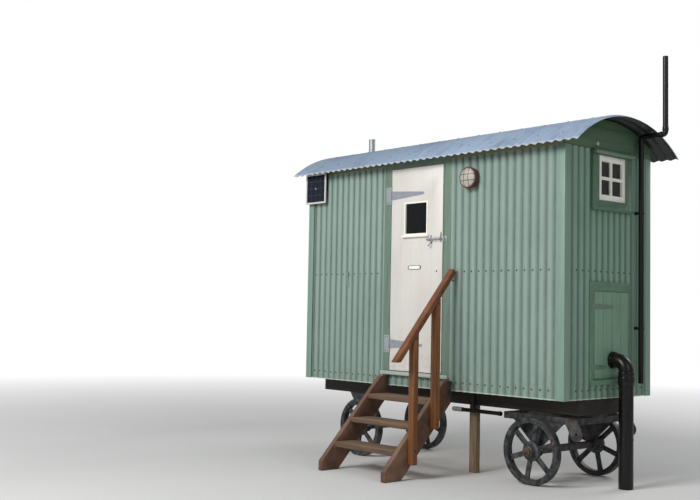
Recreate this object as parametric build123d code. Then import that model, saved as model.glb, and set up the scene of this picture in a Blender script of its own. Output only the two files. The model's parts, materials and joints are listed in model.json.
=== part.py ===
"""Small shepherds hut on cast iron wheels: corrugated body, barrel roof, front steps.

+X runs along the hut to the end with the hatch, +Y from the door wall to the back wall, +Z up.
The ground is Z = 0. All sizes are in millimetres.
"""
from build123d import *
import math
import os

# body, measured over the corner trims
body_length = 2955.0
body_width = 1120.0
wheel_radius = 254.0
cladding_above_axle = 410.0
floor_above_cladding = 100.0
platform_above_cladding = 4.0
trim_thickness = 3.0
trim_leg = 72.0
wall_thickness = 60.0

# corrugated sheet
pitch = 76.2
corrugation_depth = 15.0
crest_flat = 30.0
sheet_gauge = 3.0
sheet_joint = 0.5
first_crest_left = 43.0
first_crest_right = 75.0
first_crest_back = 45.0
first_crest_end = 48.0

# barrel roof
crown_rise = 258.0
roof_radius = 1048.0
roof_overhang_eave = 120.0
roof_overhang_left = 105.0
roof_overhang_right = 186.0
roof_facets = 6
lining_thickness = 40.0

# doorway and door
door_centre = -46.0
door_width = 606.0
door_height = 1718.0
door_thickness = 45.0
door_gap = 5.0
door_latch_gap = 8.0
doorstep_height = 122.0
door_foot_gap = 6.0
head_above_door = 34.0
door_stop_inset = 15.0
door_board_width = 81.0
jamb_thickness = 30.0
threshold_height = 30.0
threshold_nose = 28.0
door_window_width = 249.0
door_window_height = 255.0
door_window_below_top = 306.0
door_window_centre = -7.0
bead_width = 13.0
bead_proud = 8.0
door_sill_end = 30.0
door_sill_depth = 24.0
door_sill_height = 18.0
glass_thickness = 6.0

# T hinges of the door
low_hinge_height = 352.0
high_hinge_below_top = 224.0
hinge_plate_height = 150.0
hinge_plate_width = 66.0
hinge_iron = 4.0
strap_length = 392.0
strap_root = 77.0
strap_tip = 22.0
knuckle_radius = 7.0
running_gap = 0.3

# sliding bolt of the door
bolt_below_window = 57.0
bolt_rod_radius = 7.0
bolt_rod_length = 212.0
bolt_clearance = 0.5
bolt_end_inset = 2.0
bolt_plate_length = 130.0
bolt_plate_height = 44.0
bolt_plate_inset = 6.0
bolt_handle_radius = 5.0
bolt_handle_inset = 25.0
bolt_handle_out = 14.0
bolt_handle_drop = 62.0
bolt_knob_radius = 9.0
bolt_knob_length = 16.0
staple_width = 16.0
staple_iron = 3.0
staple_inset = 18.0
keeper_inset = 20.0
keeper_edge = 6.0

# hook that holds the door open
hook_crest_count = 7
hook_height = 962.0
hook_drop = 105.0
hook_stand_off = 16.0
eye_radius = 11.5
eye_wire = 2.6
hook_loop_radius = 9.0
hook_wire = 3.0
hook_toe = 14.0

# window in the right end
end_window_centre = 32.0
end_window_width = 345.0
end_window_below_top = 37.0
end_window_height = 343.0
end_window_board = 80.0
sash_stile = 48.0
sash_bar = 38.0
sash_bar_inset = 7.0
sash_thickness = 45.0
cornice_depth = 48.0
cornice_height = 28.0
cornice_end = 8.0
end_window_proud = 6.0
end_window_sill_depth = 28.0
end_window_sill_height = 24.0

# hatch in the right end
hatch_centre = 32.0
hatch_width = 455.0
hatch_bottom = 147.0
hatch_height = 662.0
hatch_board = 55.0
hatch_right_board = 18.0
hatch_top_board = 71.0
hatch_sill_board = 39.0
hatch_sill_depth = 32.0
hatch_sill_height = 34.0
hatch_rebate = 10.0
hatch_gap = 3.0
hatch_proud = 2.0
hatch_frame_proud = 4.0
hatch_hinge_heights = (236.0, 692.0)
hatch_strap_lengths = (146.0, 248.0)
hatch_strap_root = 38.0
hatch_strap_tip = 16.0
hatch_strap_foot = 20.0
hatch_plate_width = 30.0
hatch_plate_height = 84.0

# pipes
soil_radius = 55.0
soil_height = 289.0
soil_stand_off = 125.0
soil_bend = 85.0
soil_bend_count = 4
soil_y = 37.0
soil_socket_radius = 62.0
soil_socket_length = 27.0
soil_coupling_length = 65.0
soil_coupling_drop = 34.0
vent_radius = 26.0
vent_crest_count = 11
vent_stand_off = 52.0
vent_outer_stand_off = 260.0
vent_elbow_radius = 30.0
vent_elbow_length = 36.0
vent_elbow_gap = 30.0
vent_clip_heights = (520.0, 1420.0)
vent_clip_height = 22.0
vent_foot = 105.0
vent_turn_rise = 120.0
vent_top_rise = 502.0
flue_radius = 26.0
flue_x = -1265.0
flue_y = 60.0
flue_rise = 172.0

# lamp and solar panel
lamp_x = 567.5
lamp_below_top = 180.0
lamp_radius = 86.0
lamp_depth = 78.0
lamp_rim_start = 35.0
lamp_rim_end = 55.0
lamp_rim_step = 6.0
lamp_glass_radius = 72.0
lamp_glass_start = 39.0
solar_width = 292.0
solar_height = 285.0
solar_below_top = 265.0
solar_thickness = 16.0
solar_stand_off = 30.0
solar_overlap = 8.0
solar_batten = 22.0
solar_batten_inset = 40.0

# chassis
beam_depth = 122.0
beam_width = 60.0
beam_y = 310.0
crossbeam_width = 60.0
front_axle_x = 1072.5
rear_axle_x = -857.5

# wheels
wheel_track = 820.0
tyre_width = 60.0
tyre_thickness = 40.0
spoke_count = 6
spoke_width = 48.0
spoke_thickness = 16.0
spoke_start = 12.0
hub_radius = 52.0
hub_flange_radius = 76.0
hub_length = 125.0
axle_radius = 19.0
axle_clearance = 0.8
cap_radius = 34.0
cap_length = 14.0
cap_gap = 4.0

# front carriage
ring_radius = 340.0
ring_width = 42.0
ring_thickness = 11.0
centre_plate_radius = 60.0
bolster_width = 100.0
channel_depth = 52.0
channel_width = 38.0
channel_web = 8.0
carriage_length = 670.0
carriage_width = 680.0
horn_thickness = 12.0
horn_half_top = 235.0
horn_foot_radius = 46.0
axle_square = 50.0
lug_thickness = 12.0
lug_radius = 38.0
lug_hole_radius = 12.0
lug_reach = 38.0
lug_drop = 56.0
lug_neck = 88.0
lug_high_angle = 27.0
lug_low_angle = 240.0

# steps and handrail
step_rise = 187.0
step_going = 178.6
step_count = 3
stringer_thickness = 45.0
stringer_depth = 180.0
stringer_left = -407.5
stringer_right = 372.5
stringer_top = 82.0
stringer_top_cut = 83.0
stringer_nose = 78.0
tread_depth = 215.0
tread_thickness = 40.0
tread_nosing = 14.0
step_hook_inset = 5.0
step_hook_start = 17.0
step_hook_length = 150.0
step_hook_width = 30.0
step_hook_iron = 5.0
post_width = 58.0
post_depth = 52.0
post_centres = (215.0, 455.0)
post_feet = (381.0, 119.0)
rail_depth = 46.0
rail_top_y = 670.0
rail_top_z = 249.0
rail_slope = 1.168
rail_foot = 241.0
rail_wall_gap = 10.0

# props and pipes under the floor
prop_x = 407.5
prop_width = 75.0
prop_depth = 47.0
waste_radius = 16.0
waste_y = 370.0
waste_z = -160.0
waste_start = 225.0
waste_riser = 440.0
waste_end = 735.0
waste_socket_radius = 19.0
waste_socket_length = 105.0

# flats of round bars
wire_round = 15.0
pipe_round = 60.0
drum_round = 120.0
wire_side_count = 12
pipe_side_count = 16
drum_side_count = 24
wheel_side_count = 32

# heights and faces that follow
overshoot = 1.0
axle_height = wheel_radius
base = axle_height + cladding_above_axle
half_length = body_length / 2
half_width = body_width / 2
sheet_depth = corrugation_depth + sheet_gauge
crest_y = half_width - trim_thickness
crest_x = half_length - trim_thickness
frame_y = crest_y - sheet_depth
frame_x = crest_x - sheet_depth
inner_y = frame_y - wall_thickness
inner_x = frame_x - wall_thickness
floor_z = base + floor_above_cladding
platform_bottom = base + platform_above_cladding
door_foot = doorstep_height + door_foot_gap
cladding_height = door_foot + door_height + head_above_door
crown_above_cladding = cladding_height + crown_rise
roof_centre_z = base + crown_above_cladding - roof_radius
roof_half_angle = math.asin((half_width + roof_overhang_eave) / roof_radius)
facet_cosine = math.cos(roof_half_angle / roof_facets)
sheet_under = roof_radius - sheet_depth / facet_cosine
lining_under = sheet_under - lining_thickness / facet_cosine
board_face = half_width
door_face = board_face
door_left = door_centre - door_width / 2
door_right = door_centre + door_width / 2
door_bottom = base + door_foot
door_top = door_bottom + door_height
opening_left = door_left - door_gap
opening_right = door_right + door_latch_gap
opening_top = door_top + door_gap
rough_left = opening_left - jamb_thickness
rough_right = opening_right + jamb_thickness
rough_top = opening_top + jamb_thickness
threshold_top = base + doorstep_height
door_window_bottom = door_foot + door_height - door_window_below_top - door_window_height
bolt_height = door_window_bottom - bolt_below_window
hinge_heights = (low_hinge_height, door_foot + door_height - high_hinge_below_top)
end_window_bottom = cladding_height - end_window_below_top - end_window_height
lamp_height = cladding_height - lamp_below_top
solar_bottom = cladding_height - solar_below_top
beam_bottom = platform_bottom - beam_depth
carriage_top = beam_bottom - 2 * ring_thickness - running_gap
channel_bottom = carriage_top - channel_depth
hinge_axis_x = door_left - door_gap / 2
hinge_axis_y = -(door_face + knuckle_radius)
wheel_y = wheel_track / 2
step_slope = step_rise / step_going
stringer_vertical = stringer_depth / math.cos(math.atan(step_slope))


def box(x0, x1, y0, y1, z0, z1):
    """A block between two opposite corners."""
    return Pos((x0 + x1) / 2, (y0 + y1) / 2, (z0 + z1) / 2) * Box(x1 - x0, y1 - y0, z1 - z0)


def side_count(radius):
    """Number of flats that a round bar of this radius has."""
    if radius <= wire_round:
        return wire_side_count
    if radius <= pipe_round:
        return pipe_side_count
    return drum_side_count if radius <= drum_round else wheel_side_count


def bar_section(radius):
    """Section of a round bar, its corners on the radius."""
    return RegularPolygon(radius, side_count(radius))


def rod(radius, start, end):
    """A round bar from one point to another."""
    along = Vector(*end) - Vector(*start)
    plane = Plane(origin=start, z_dir=along.normalized())
    return extrude(plane * bar_section(radius), amount=along.length)


def drilled_hole(radius, start, end):
    """The space of a truly round hole from one point to another."""
    along = Vector(*end) - Vector(*start)
    plane = Plane(origin=start, z_dir=along.normalized())
    return extrude(plane * Circle(radius), amount=along.length)


def pipe_along(radius, points):
    """A round bar along straight runs with mitred corners."""
    first = Vector(*points[1]) - Vector(*points[0])
    plane = Plane(origin=points[0], z_dir=first.normalized())
    return sweep(plane * bar_section(radius), path=Polyline(*points), transition=Transition.RIGHT)


def washer(wire, radius, centre, axis):
    """A flat ring round an axis, square in section."""
    middle = Vector(*centre)
    half = Vector(*axis) * wire
    far = Vector(*axis) * (wire + overshoot)
    ring = rod(radius + wire, tuple(middle - half), tuple(middle + half))
    return ring - rod(radius - wire, tuple(middle - far), tuple(middle + far))


def plate_xz(outline, y0, y1):
    """A plate whose outline is drawn in X and Z, between two Y faces."""
    face = make_face(Polyline(*[(x, 0, z) for x, z in outline], close=True))
    return Pos(0, y0, 0) * extrude(face, amount=y1 - y0, dir=(0, 1, 0))


def plate_yz(outline, x0, x1):
    """A plate whose outline is drawn in Y and Z, between two X faces."""
    face = make_face(Polyline(*[(0, y, z) for y, z in outline], close=True))
    return Pos(x0, 0, 0) * extrude(face, amount=x1 - x0, dir=(1, 0, 0))


def mirrored(shape, plane=Plane.XZ):
    """The same piece on the other side of the hut."""
    return mirror(shape, about=plane)


def sheet_offset(along, first_crest):
    """Depth of the sheet's outer face below its crests at a place along the sheet."""
    place = (along - first_crest) % pitch
    from_crest = min(place, pitch - place)
    slope_length = (pitch - crest_flat) / 2
    return corrugation_depth * max((from_crest - crest_flat / 2) / slope_length, 0.0)


def corrugation_line(length, first_crest):
    """Corner points of the outer face, as pairs of place along the sheet and depth."""
    corners = []
    for count in range(-2, int(length / pitch) + 3):
        crest = first_crest + count * pitch
        corners += [crest - crest_flat / 2, crest + crest_flat / 2, crest + pitch / 2]
    inside = [corner for corner in corners if overshoot < corner < length - overshoot]
    places = [0.0] + sorted({round(corner, 4) for corner in inside}) + [length]
    return [(place, sheet_offset(place, first_crest)) for place in places]


def corrugated_wall(start, end, height, first_crest=pitch / 2):
    """An upright corrugated sheet from one ground point to another, its outer face to the right."""
    run = Vector(end[0] - start[0], end[1] - start[1], 0)
    along = run.normalized()
    inward = Vector(-along.Y, along.X, 0)
    line = corrugation_line(run.length, first_crest)
    outer = [along * place + inward * depth for place, depth in line]
    inner = [along * place + inward * (depth + sheet_gauge) for place, depth in reversed(line)]
    face = make_face(Polyline(*(outer + inner), close=True))
    return Pos(start[0], start[1], start[2]) * extrude(face, amount=height, dir=(0, 0, 1))


def barrel_angle(index):
    """Angle of a fold line of the roof from the crown, in radians."""
    return roof_half_angle * (2.0 * index / roof_facets - 1.0)


def barrel_points(radius):
    """Points of the roof curve at one radius, from the front eave to the back eave."""
    angles = [barrel_angle(index) for index in range(roof_facets + 1)]
    return [(radius * math.sin(a), roof_centre_z + radius * math.cos(a)) for a in angles]


def under_barrel(radius, x0, x1):
    """All the space below the roof curve at one radius."""
    curve = barrel_points(radius)
    outline = [(curve[0][0], 0.0)] + curve + [(curve[-1][0], 0.0)]
    return plate_yz(outline, x0, x1)


def corrugated_roof():
    """The curved sheet: one corrugated section carried along the folded barrel."""
    length = body_length + roof_overhang_left + roof_overhang_right
    start_x = -half_length - roof_overhang_left
    path_points = [(start_x, y, z) for y, z in barrel_points(roof_radius)]
    path = Polyline(*path_points)
    first = Vector(*path_points[1]) - Vector(*path_points[0])
    section_plane = Plane(origin=path_points[0], x_dir=(1, 0, 0), z_dir=first.normalized())
    line = corrugation_line(length, pitch / 2)
    outer = [(place, depth) for place, depth in line]
    inner = [(place, depth + sheet_gauge) for place, depth in reversed(line)]
    section = section_plane * make_face(Polyline(*(outer + inner), close=True))
    return sweep(section, path=path, transition=Transition.RIGHT)


def roof_lining():
    """Curved boarding that the sheet lies on, over the walls and between the ends."""
    shell = under_barrel(sheet_under, -frame_x, frame_x) - under_barrel(lining_under, -frame_x, frame_x)
    return shell & box(-frame_x, frame_x, -frame_y, frame_y, base, base + crown_above_cladding)


def wall_slabs():
    """Framed and lined walls, split beside and over the doorway."""
    top = base + crown_above_cladding
    room = under_barrel(lining_under, -frame_x, frame_x)
    slabs = {
        "front_wall_left": box(-frame_x, rough_left, -frame_y, -inner_y, floor_z, top),
        "front_wall_right": box(rough_right, frame_x, -frame_y, -inner_y, floor_z, top),
        "front_wall_head": box(rough_left, rough_right, -frame_y, -inner_y, rough_top, top),
        "back_wall": box(-frame_x, frame_x, inner_y, frame_y, floor_z, top),
        "left_end_wall": box(-frame_x, -inner_x, -inner_y, inner_y, floor_z, top),
    }
    slabs = {name: slab & room for name, slab in slabs.items()}
    left_end = slabs.pop("left_end_wall")
    sides, rails, studs = right_end_wall(top, room)
    slabs["end_walls"] = [left_end] + sides
    slabs["right_end_rails"] = rails
    slabs["right_end_studs"] = studs
    return slabs


def right_end_wall(top, room):
    """Slabs of the right end: beside the openings, across it between them, and beside the window."""
    x0, x1 = inner_x, frame_x
    near = hatch_centre - hatch_width / 2 + hatch_rebate
    far = hatch_centre + hatch_width / 2 - hatch_rebate
    hatch_low = base + hatch_bottom + hatch_rebate
    hatch_high = base + hatch_bottom + hatch_height - hatch_rebate
    window_low = base + end_window_bottom
    window_high = window_low + end_window_height
    window_near = end_window_centre - end_window_width / 2
    window_far = end_window_centre + end_window_width / 2
    sides = [
        box(x0, x1, -inner_y, near, floor_z, top) & room,
        box(x0, x1, far, inner_y, floor_z, top) & room,
    ]
    rails = [
        box(x0, x1, near, far, floor_z, hatch_low),
        box(x0, x1, near, far, hatch_high, window_low),
        box(x0, x1, near, far, window_high, top) & room,
    ]
    studs = [
        box(x0, x1, near, window_near, window_low, window_high),
        box(x0, x1, window_far, far, window_low, window_high),
    ]
    return sides, rails, studs


def end_window_hole(margin=0.0):
    """The space that the window in the right end fills."""
    half = end_window_width / 2 + margin
    z0 = base + end_window_bottom - margin
    z1 = base + end_window_bottom + end_window_height + margin
    x1 = half_length + cornice_depth
    return box(inner_x - overshoot, x1, end_window_centre - half, end_window_centre + half, z0, z1)


def hatch_outline(x0, x1):
    """A block as wide and high as the cover boards of the hatch."""
    half = hatch_width / 2
    z0 = base + hatch_bottom - hatch_sill_board
    z1 = base + hatch_bottom + hatch_height + hatch_top_board
    return box(x0, x1, hatch_centre - half - hatch_board, hatch_centre + half + hatch_right_board, z0, z1)


def front_cladding():
    """Sheets left and right of the doorway and the short sheet below it."""
    height = cladding_height
    board_left = rough_left - (door_board_width - jamb_thickness)
    board_right = rough_right + (door_board_width - jamb_thickness)
    low_height = threshold_top - threshold_height - base
    left = corrugated_wall((-crest_x, -crest_y, base), (board_left, -crest_y), height, first_crest_left)
    right = corrugated_wall((board_right, -crest_y, base), (crest_x, -crest_y), height, first_crest_right)
    below = corrugated_wall((board_left + sheet_joint, -crest_y, base),
                            (board_right - sheet_joint, -crest_y), low_height)
    return [left, right, below]


def back_cladding():
    """The sheet of the back wall."""
    return corrugated_wall((crest_x, crest_y, base), (-crest_x, crest_y), cladding_height, first_crest_back)


def end_cladding(side):
    """The sheet of one end wall up to the gable board."""
    start = (side * crest_x, -side * frame_y, base)
    end = (side * crest_x, side * frame_y)
    return corrugated_wall(start, end, cladding_height, first_crest_end)


def right_end_cladding():
    """The sheet of the right end with its window and hatch cut out."""
    window_margin = end_window_board
    sheet = end_cladding(1)
    sheet -= end_window_hole(window_margin)
    return sheet - hatch_outline(frame_x - overshoot, half_length + overshoot)


def corner_trims():
    """Folded angles over the four upright corners."""
    top = base + cladding_height
    leg = box(half_length - trim_leg, half_length, half_width - trim_thickness, half_width, base, top)
    wing = box(half_length - trim_thickness, half_length, half_width - trim_leg, half_width, base, top)
    angle = leg + wing
    return [angle, mirrored(angle), mirrored(angle, Plane.YZ), mirrored(mirrored(angle), Plane.YZ)]


def door_frame():
    """Jambs, head and cover boards round the doorway, in one frame."""
    board = door_board_width - jamb_thickness
    top = base + crown_above_cladding
    left = rough_left - board
    right = rough_right + board
    cover = box(left, right, -board_face, -frame_y, threshold_top, top)
    jambs = box(rough_left, rough_right, -frame_y, -inner_y, threshold_top, rough_top)
    stop_y = -door_face + door_thickness + door_gap
    opening = box(opening_left, opening_right, -board_face - overshoot, -inner_y + overshoot,
                  threshold_top - overshoot, opening_top)
    stop = box(opening_left, opening_right, stop_y, -inner_y, threshold_top, opening_top)
    stop -= box(opening_left + door_stop_inset, opening_right - door_stop_inset, stop_y - overshoot,
                -inner_y + overshoot, threshold_top - overshoot, opening_top - door_stop_inset)
    frame = (cover + jambs) - opening + stop
    return frame & under_barrel(sheet_under, left - overshoot, right + overshoot)


def threshold():
    """The sill board below the door."""
    board = door_board_width - jamb_thickness
    return box(rough_left - board, rough_right + board, -board_face - threshold_nose, -frame_y,
               threshold_top - threshold_height, threshold_top)


def inner_sill():
    """The part of the sill that lies on the floor within the doorway."""
    return box(rough_left, rough_right, -frame_y, -inner_y, floor_z, threshold_top)


def door_window(margin, y0, y1):
    """A block as wide and high as the door's window plus a margin."""
    half = door_window_width / 2 + margin
    z0 = base + door_window_bottom - margin
    z1 = base + door_window_bottom + door_window_height + margin
    return box(door_window_centre - half, door_window_centre + half, y0, y1, z0, z1)


def door_leaf():
    """The boarded leaf with its window cut through."""
    leaf = box(door_left, door_right, -door_face, -door_face + door_thickness, door_bottom, door_top)
    return leaf - door_window(0, -door_face - overshoot, -door_face + door_thickness + overshoot)


def door_glass():
    """The pane in the middle of the leaf's thickness."""
    middle = -door_face + door_thickness / 2
    return door_window(0, middle - glass_thickness / 2, middle + glass_thickness / 2)


def door_window_bead():
    """The bead round the pane and the small sill below it."""
    front = -door_face
    bead = door_window(bead_width, front - bead_proud, front)
    bead -= door_window(0, front - bead_proud - overshoot, front + overshoot)
    half = door_window_width / 2 + door_sill_end
    top = base + door_window_bottom - bead_width
    sill = box(door_window_centre - half, door_window_centre + half, front - door_sill_depth, front,
               top - door_sill_height, top)
    return bead + sill


def knuckle(z0, z1):
    """One piece of a hinge barrel on the door's axis."""
    return rod(knuckle_radius, (hinge_axis_x, hinge_axis_y, z0), (hinge_axis_x, hinge_axis_y, z1))


def hinge_plates():
    """Upright plates with their outer knuckles, on the left cover board."""
    plates = []
    for height in hinge_heights:
        middle = base + height
        z0 = middle - hinge_plate_height / 2
        z1 = middle + hinge_plate_height / 2
        gap = strap_root / 2 + running_gap
        y0 = -door_face - hinge_iron
        plate = box(hinge_axis_x - hinge_plate_width, hinge_axis_x, y0, -door_face, z0, z1)
        plate -= box(hinge_axis_x - knuckle_radius - overshoot, hinge_axis_x + overshoot,
                     y0 - overshoot, -door_face + overshoot, middle - gap, middle + gap)
        plate += knuckle(z0, middle - gap)
        plate += knuckle(middle + gap, z1)
        plates.append(plate)
    return plates


def hinge_straps():
    """Tapered straps with their middle knuckles, on the leaf."""
    straps = []
    for height in hinge_heights:
        middle = base + height
        tip_x = hinge_axis_x + strap_length - strap_tip / 2
        outline = [
            (hinge_axis_x, middle - strap_root / 2),
            (tip_x, middle - strap_tip / 2),
            (tip_x, middle + strap_tip / 2),
            (hinge_axis_x, middle + strap_root / 2),
        ]
        strap = plate_xz(outline, -door_face - hinge_iron, -door_face)
        strap += rod(strap_tip / 2, (tip_x, -door_face, middle), (tip_x, -door_face - hinge_iron, middle))
        strap += knuckle(middle - strap_root / 2, middle + strap_root / 2)
        straps.append(strap)
    return straps


def bolt_axis_y():
    """Y of the middle of the sliding bolt, in front of its plate."""
    return -(door_face + hinge_iron + bolt_rod_radius + bolt_clearance)


def bolt_plate():
    """Back plate of the bolt with the two staples that guide it."""
    z = base + bolt_height
    x1 = door_right - bolt_plate_inset
    x0 = x1 - bolt_plate_length
    half = bolt_plate_height / 2
    plate = box(x0, x1, -door_face - hinge_iron, -door_face, z - half, z + half)
    for x in (x0 + staple_inset, x1 - staple_inset):
        plate += bolt_staple(x)
    return plate


def bolt_staple(x):
    """A strap bent over the bolt."""
    z = base + bolt_height
    hole = bolt_rod_radius + bolt_clearance
    outside = hole + staple_iron
    half = staple_width / 2
    bridge = box(x - half, x + half, bolt_axis_y() - outside, -door_face, z - outside, z + outside)
    channel = box(x - half - overshoot, x + half + overshoot, bolt_axis_y() - hole, -door_face + overshoot,
                  z - hole, z + hole)
    return bridge - channel


def bolt_keeper():
    """Staple on the right cover board that takes the bolt's end."""
    x = opening_right + keeper_inset
    z = base + bolt_height
    half = bolt_plate_height / 2
    x0 = opening_right + keeper_edge
    plate = box(x0, x + keeper_inset, -board_face - hinge_iron, -board_face, z - half, z + half)
    return plate + bolt_staple(x)


def door_bolt():
    """The round bolt with its down-turned handle, drawn back."""
    z = base + bolt_height
    y = bolt_axis_y()
    x1 = door_right - bolt_end_inset
    bolt = rod(bolt_rod_radius, (x1 - bolt_rod_length, y, z), (x1, y, z))
    handle_x = x1 - bolt_rod_length + bolt_handle_inset
    knob = (handle_x, y - bolt_handle_out, z - bolt_handle_drop)
    handle = rod(bolt_handle_radius, (handle_x, y, z), knob)
    knob_top = (knob[0], knob[1], knob[2] + bolt_knob_length / 2)
    knob_foot = (knob[0], knob[1], knob[2] - bolt_knob_length / 2)
    return bolt + handle + rod(bolt_knob_radius, knob_foot, knob_top)


def hook_eye_point():
    """Middle of the eye that carries the hook."""
    hook_x = -crest_x + first_crest_left + hook_crest_count * pitch
    return (hook_x, -(crest_y + hook_stand_off), base + hook_height)


def hook_loop_z():
    """Height of the middle of the hook's loop, which rests on the lowest bar of the eye."""
    half_side = math.pi / wire_side_count
    seat = eye_radius - eye_wire - hook_wire * math.tan(half_side)
    loop_hole = (hook_loop_radius - hook_wire) * math.cos(half_side) - running_gap
    return hook_eye_point()[2] - seat - math.sqrt(loop_hole ** 2 - eye_wire ** 2)


def hook_eye():
    """Screw eye in the left front sheet."""
    x, y, z = hook_eye_point()
    shank = rod(eye_wire, (x, -crest_y, z + eye_radius), (x, y, z + eye_radius))
    return shank + washer(eye_wire, eye_radius, (x, y, z), (1, 0, 0))


def hold_back_hook():
    """Wire hook that hangs from the screw eye."""
    x, y, z = hook_eye_point()
    loop_z = hook_loop_z()
    end_z = z - hook_drop
    loop = washer(hook_wire, hook_loop_radius, (x, y, loop_z), (0, 1, 0))
    bar = pipe_along(hook_wire, [(x, y, loop_z - hook_loop_radius), (x, y, end_z),
                                 (x + hook_toe, y, end_z + hook_wire)])
    return loop + bar


def end_window_boards():
    """Cover boards and drip board round the window in the right end."""
    face = half_length + end_window_proud
    boards = end_window_hole(end_window_board) - end_window_hole()
    z0 = base + end_window_bottom - end_window_board
    top = base + cladding_height
    boards &= box(frame_x, face, -half_width, half_width, z0, top)
    half = end_window_width / 2 + end_window_board
    y0 = end_window_centre - half
    y1 = end_window_centre + half
    cornice = box(half_length, half_length + cornice_depth, y0 - cornice_end, y1 + cornice_end,
                  top, top + cornice_height)
    sill = box(face, face + end_window_sill_depth, y0, y1, z0, z0 + end_window_sill_height)
    return boards + cornice + sill


def end_window_sash():
    """Four-light sash with stiles, rails and two crossing bars."""
    x1 = half_length
    x0 = x1 - sash_thickness
    half = end_window_width / 2
    z0 = base + end_window_bottom
    z1 = z0 + end_window_height
    outer = box(x0, x1, end_window_centre - half, end_window_centre + half, z0, z1)
    light_half = half - sash_stile
    inner = box(x0 - overshoot, x1 + overshoot, end_window_centre - light_half,
                end_window_centre + light_half, z0 + sash_stile, z1 - sash_stile)
    bar_half = sash_bar / 2
    bar_x0 = x0 + sash_bar_inset
    bar_x1 = x1 - sash_bar_inset
    upright_bar = box(bar_x0, bar_x1, end_window_centre - bar_half, end_window_centre + bar_half, z0, z1)
    cross_z = (z0 + z1) / 2
    cross_bar = box(bar_x0, bar_x1, end_window_centre - half, end_window_centre + half,
                    cross_z - bar_half, cross_z + bar_half)
    return (outer - inner) + upright_bar + cross_bar


def end_window_glass():
    """The four panes, each between the bars and the stiles."""
    panes = []
    x = half_length - sash_thickness / 2
    half = end_window_width / 2
    z0 = base + end_window_bottom
    middle_z = z0 + end_window_height / 2
    for side in (-1, 1):
        for level in (-1, 1):
            near = end_window_centre + side * sash_bar / 2
            far = end_window_centre + side * (half - sash_stile)
            low = middle_z + level * sash_bar / 2
            high = middle_z + level * (end_window_height / 2 - sash_stile)
            y0, y1 = sorted((near, far))
            low, high = sorted((low, high))
            panes.append(box(x - glass_thickness / 2, x + glass_thickness / 2, y0, y1, low, high))
    return panes


def hatch_frame():
    """Cover boards round the hatch with a projecting sill."""
    face = half_length + hatch_frame_proud
    half = hatch_width / 2
    z0 = base + hatch_bottom
    z1 = z0 + hatch_height
    hole = box(frame_x - overshoot, face + overshoot, hatch_centre - half, hatch_centre + half, z0, z1)
    sill_bottom = z0 - hatch_sill_board
    x1 = face + hatch_sill_depth
    sill = hatch_outline(face, x1)
    sill &= box(face, x1, -half_width, half_width, sill_bottom, sill_bottom + hatch_sill_height)
    return hatch_outline(frame_x, face) - hole + sill


def hatch_door():
    """Boarded hatch with the hole that the soil pipe passes through."""
    half = hatch_width / 2 - hatch_gap
    z0 = base + hatch_bottom + hatch_gap
    z1 = base + hatch_bottom + hatch_height - hatch_gap
    face = half_length + hatch_proud
    z_pipe = base + soil_height
    door = box(frame_x, face, hatch_centre - half, hatch_centre + half, z0, z1)
    hole = rod(soil_radius, (frame_x - overshoot, soil_y, z_pipe), (face + overshoot, soil_y, z_pipe))
    return door - hole


def hatch_hinges():
    """Two small painted T hinges on the hatch."""
    face = half_length + hatch_frame_proud
    hinges = []
    for height, reach in zip(hatch_hinge_heights, hatch_strap_lengths):
        z = base + height
        y0 = hatch_centre - hatch_width / 2 - hatch_gap
        y1 = y0 + reach
        half = hatch_plate_height / 2
        root = hatch_strap_root / 2
        tip = hatch_strap_tip / 2
        plate = box(face, face + hinge_iron, y0 - hatch_plate_width, y0, z - half, z + half)
        outline = [(y0, z - root), (y1, z - tip), (y1, z + tip), (y0, z + root)]
        strap = plate_yz(outline, face, face + hinge_iron)
        foot = box(half_length + hatch_proud, face, y1 - hatch_strap_foot, y1, z - tip, z + tip)
        hinges.append(plate + strap + foot)
    return hinges


def gable_boards():
    """Smooth boards between the end sheets and the roof."""
    boards = []
    for side in (-1, 1):
        x0, x1 = sorted((side * frame_x, side * half_length))
        board = under_barrel(sheet_under, x0, x1)
        board &= box(x0, x1, -half_width, half_width, base + cladding_height, base + crown_above_cladding)
        boards.append(board)
    return boards


def eaves_boards():
    """Boards that close the top of the front and back sheets under the eaves."""
    left = rough_left - (door_board_width - jamb_thickness)
    right = rough_right + (door_board_width - jamb_thickness)
    z0 = base + cladding_height
    z1 = base + crown_above_cladding
    room = under_barrel(sheet_under, -frame_x, frame_x)
    front_left = box(-frame_x, left, -half_width, -frame_y, z0, z1) & room
    front_right = box(right, frame_x, -half_width, -frame_y, z0, z1) & room
    back = box(-frame_x, frame_x, frame_y, half_width, z0, z1) & room
    return [front_left, front_right, back]


def lamp_body():
    """Round bulkhead housing and rim on the front wall."""
    x = lamp_x
    z = base + lamp_height
    y_wall = -crest_y
    y_rim = y_wall - lamp_rim_start
    y_front = y_wall - lamp_rim_end
    body = rod(lamp_radius - lamp_rim_step, (x, y_wall, z), (x, y_rim, z))
    rim = rod(lamp_radius, (x, y_rim, z), (x, y_front, z))
    pocket = rod(lamp_glass_radius, (x, y_wall - lamp_glass_start, z), (x, y_front - overshoot, z))
    return body + rim - pocket


def lamp_glass():
    """Shallow domed glass in the lamp's rim, turned from a bent profile."""
    depth = lamp_depth - lamp_glass_start
    start = -crest_y - lamp_glass_start
    z = base + lamp_height
    edge_radius = lamp_glass_radius * math.cos(math.pi / drum_side_count)
    profile = [(lamp_x, start, z)]
    for degrees in (0.0, 35.0, 70.0, 90.0):
        angle = math.radians(degrees)
        out = depth * math.sin(angle)
        profile.append((lamp_x + edge_radius * math.cos(angle), start - out, z))
    face = make_face(Polyline(*profile, close=True))
    return revolve(face, axis=Axis((lamp_x, start, z), (0, 1, 0)))


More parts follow.
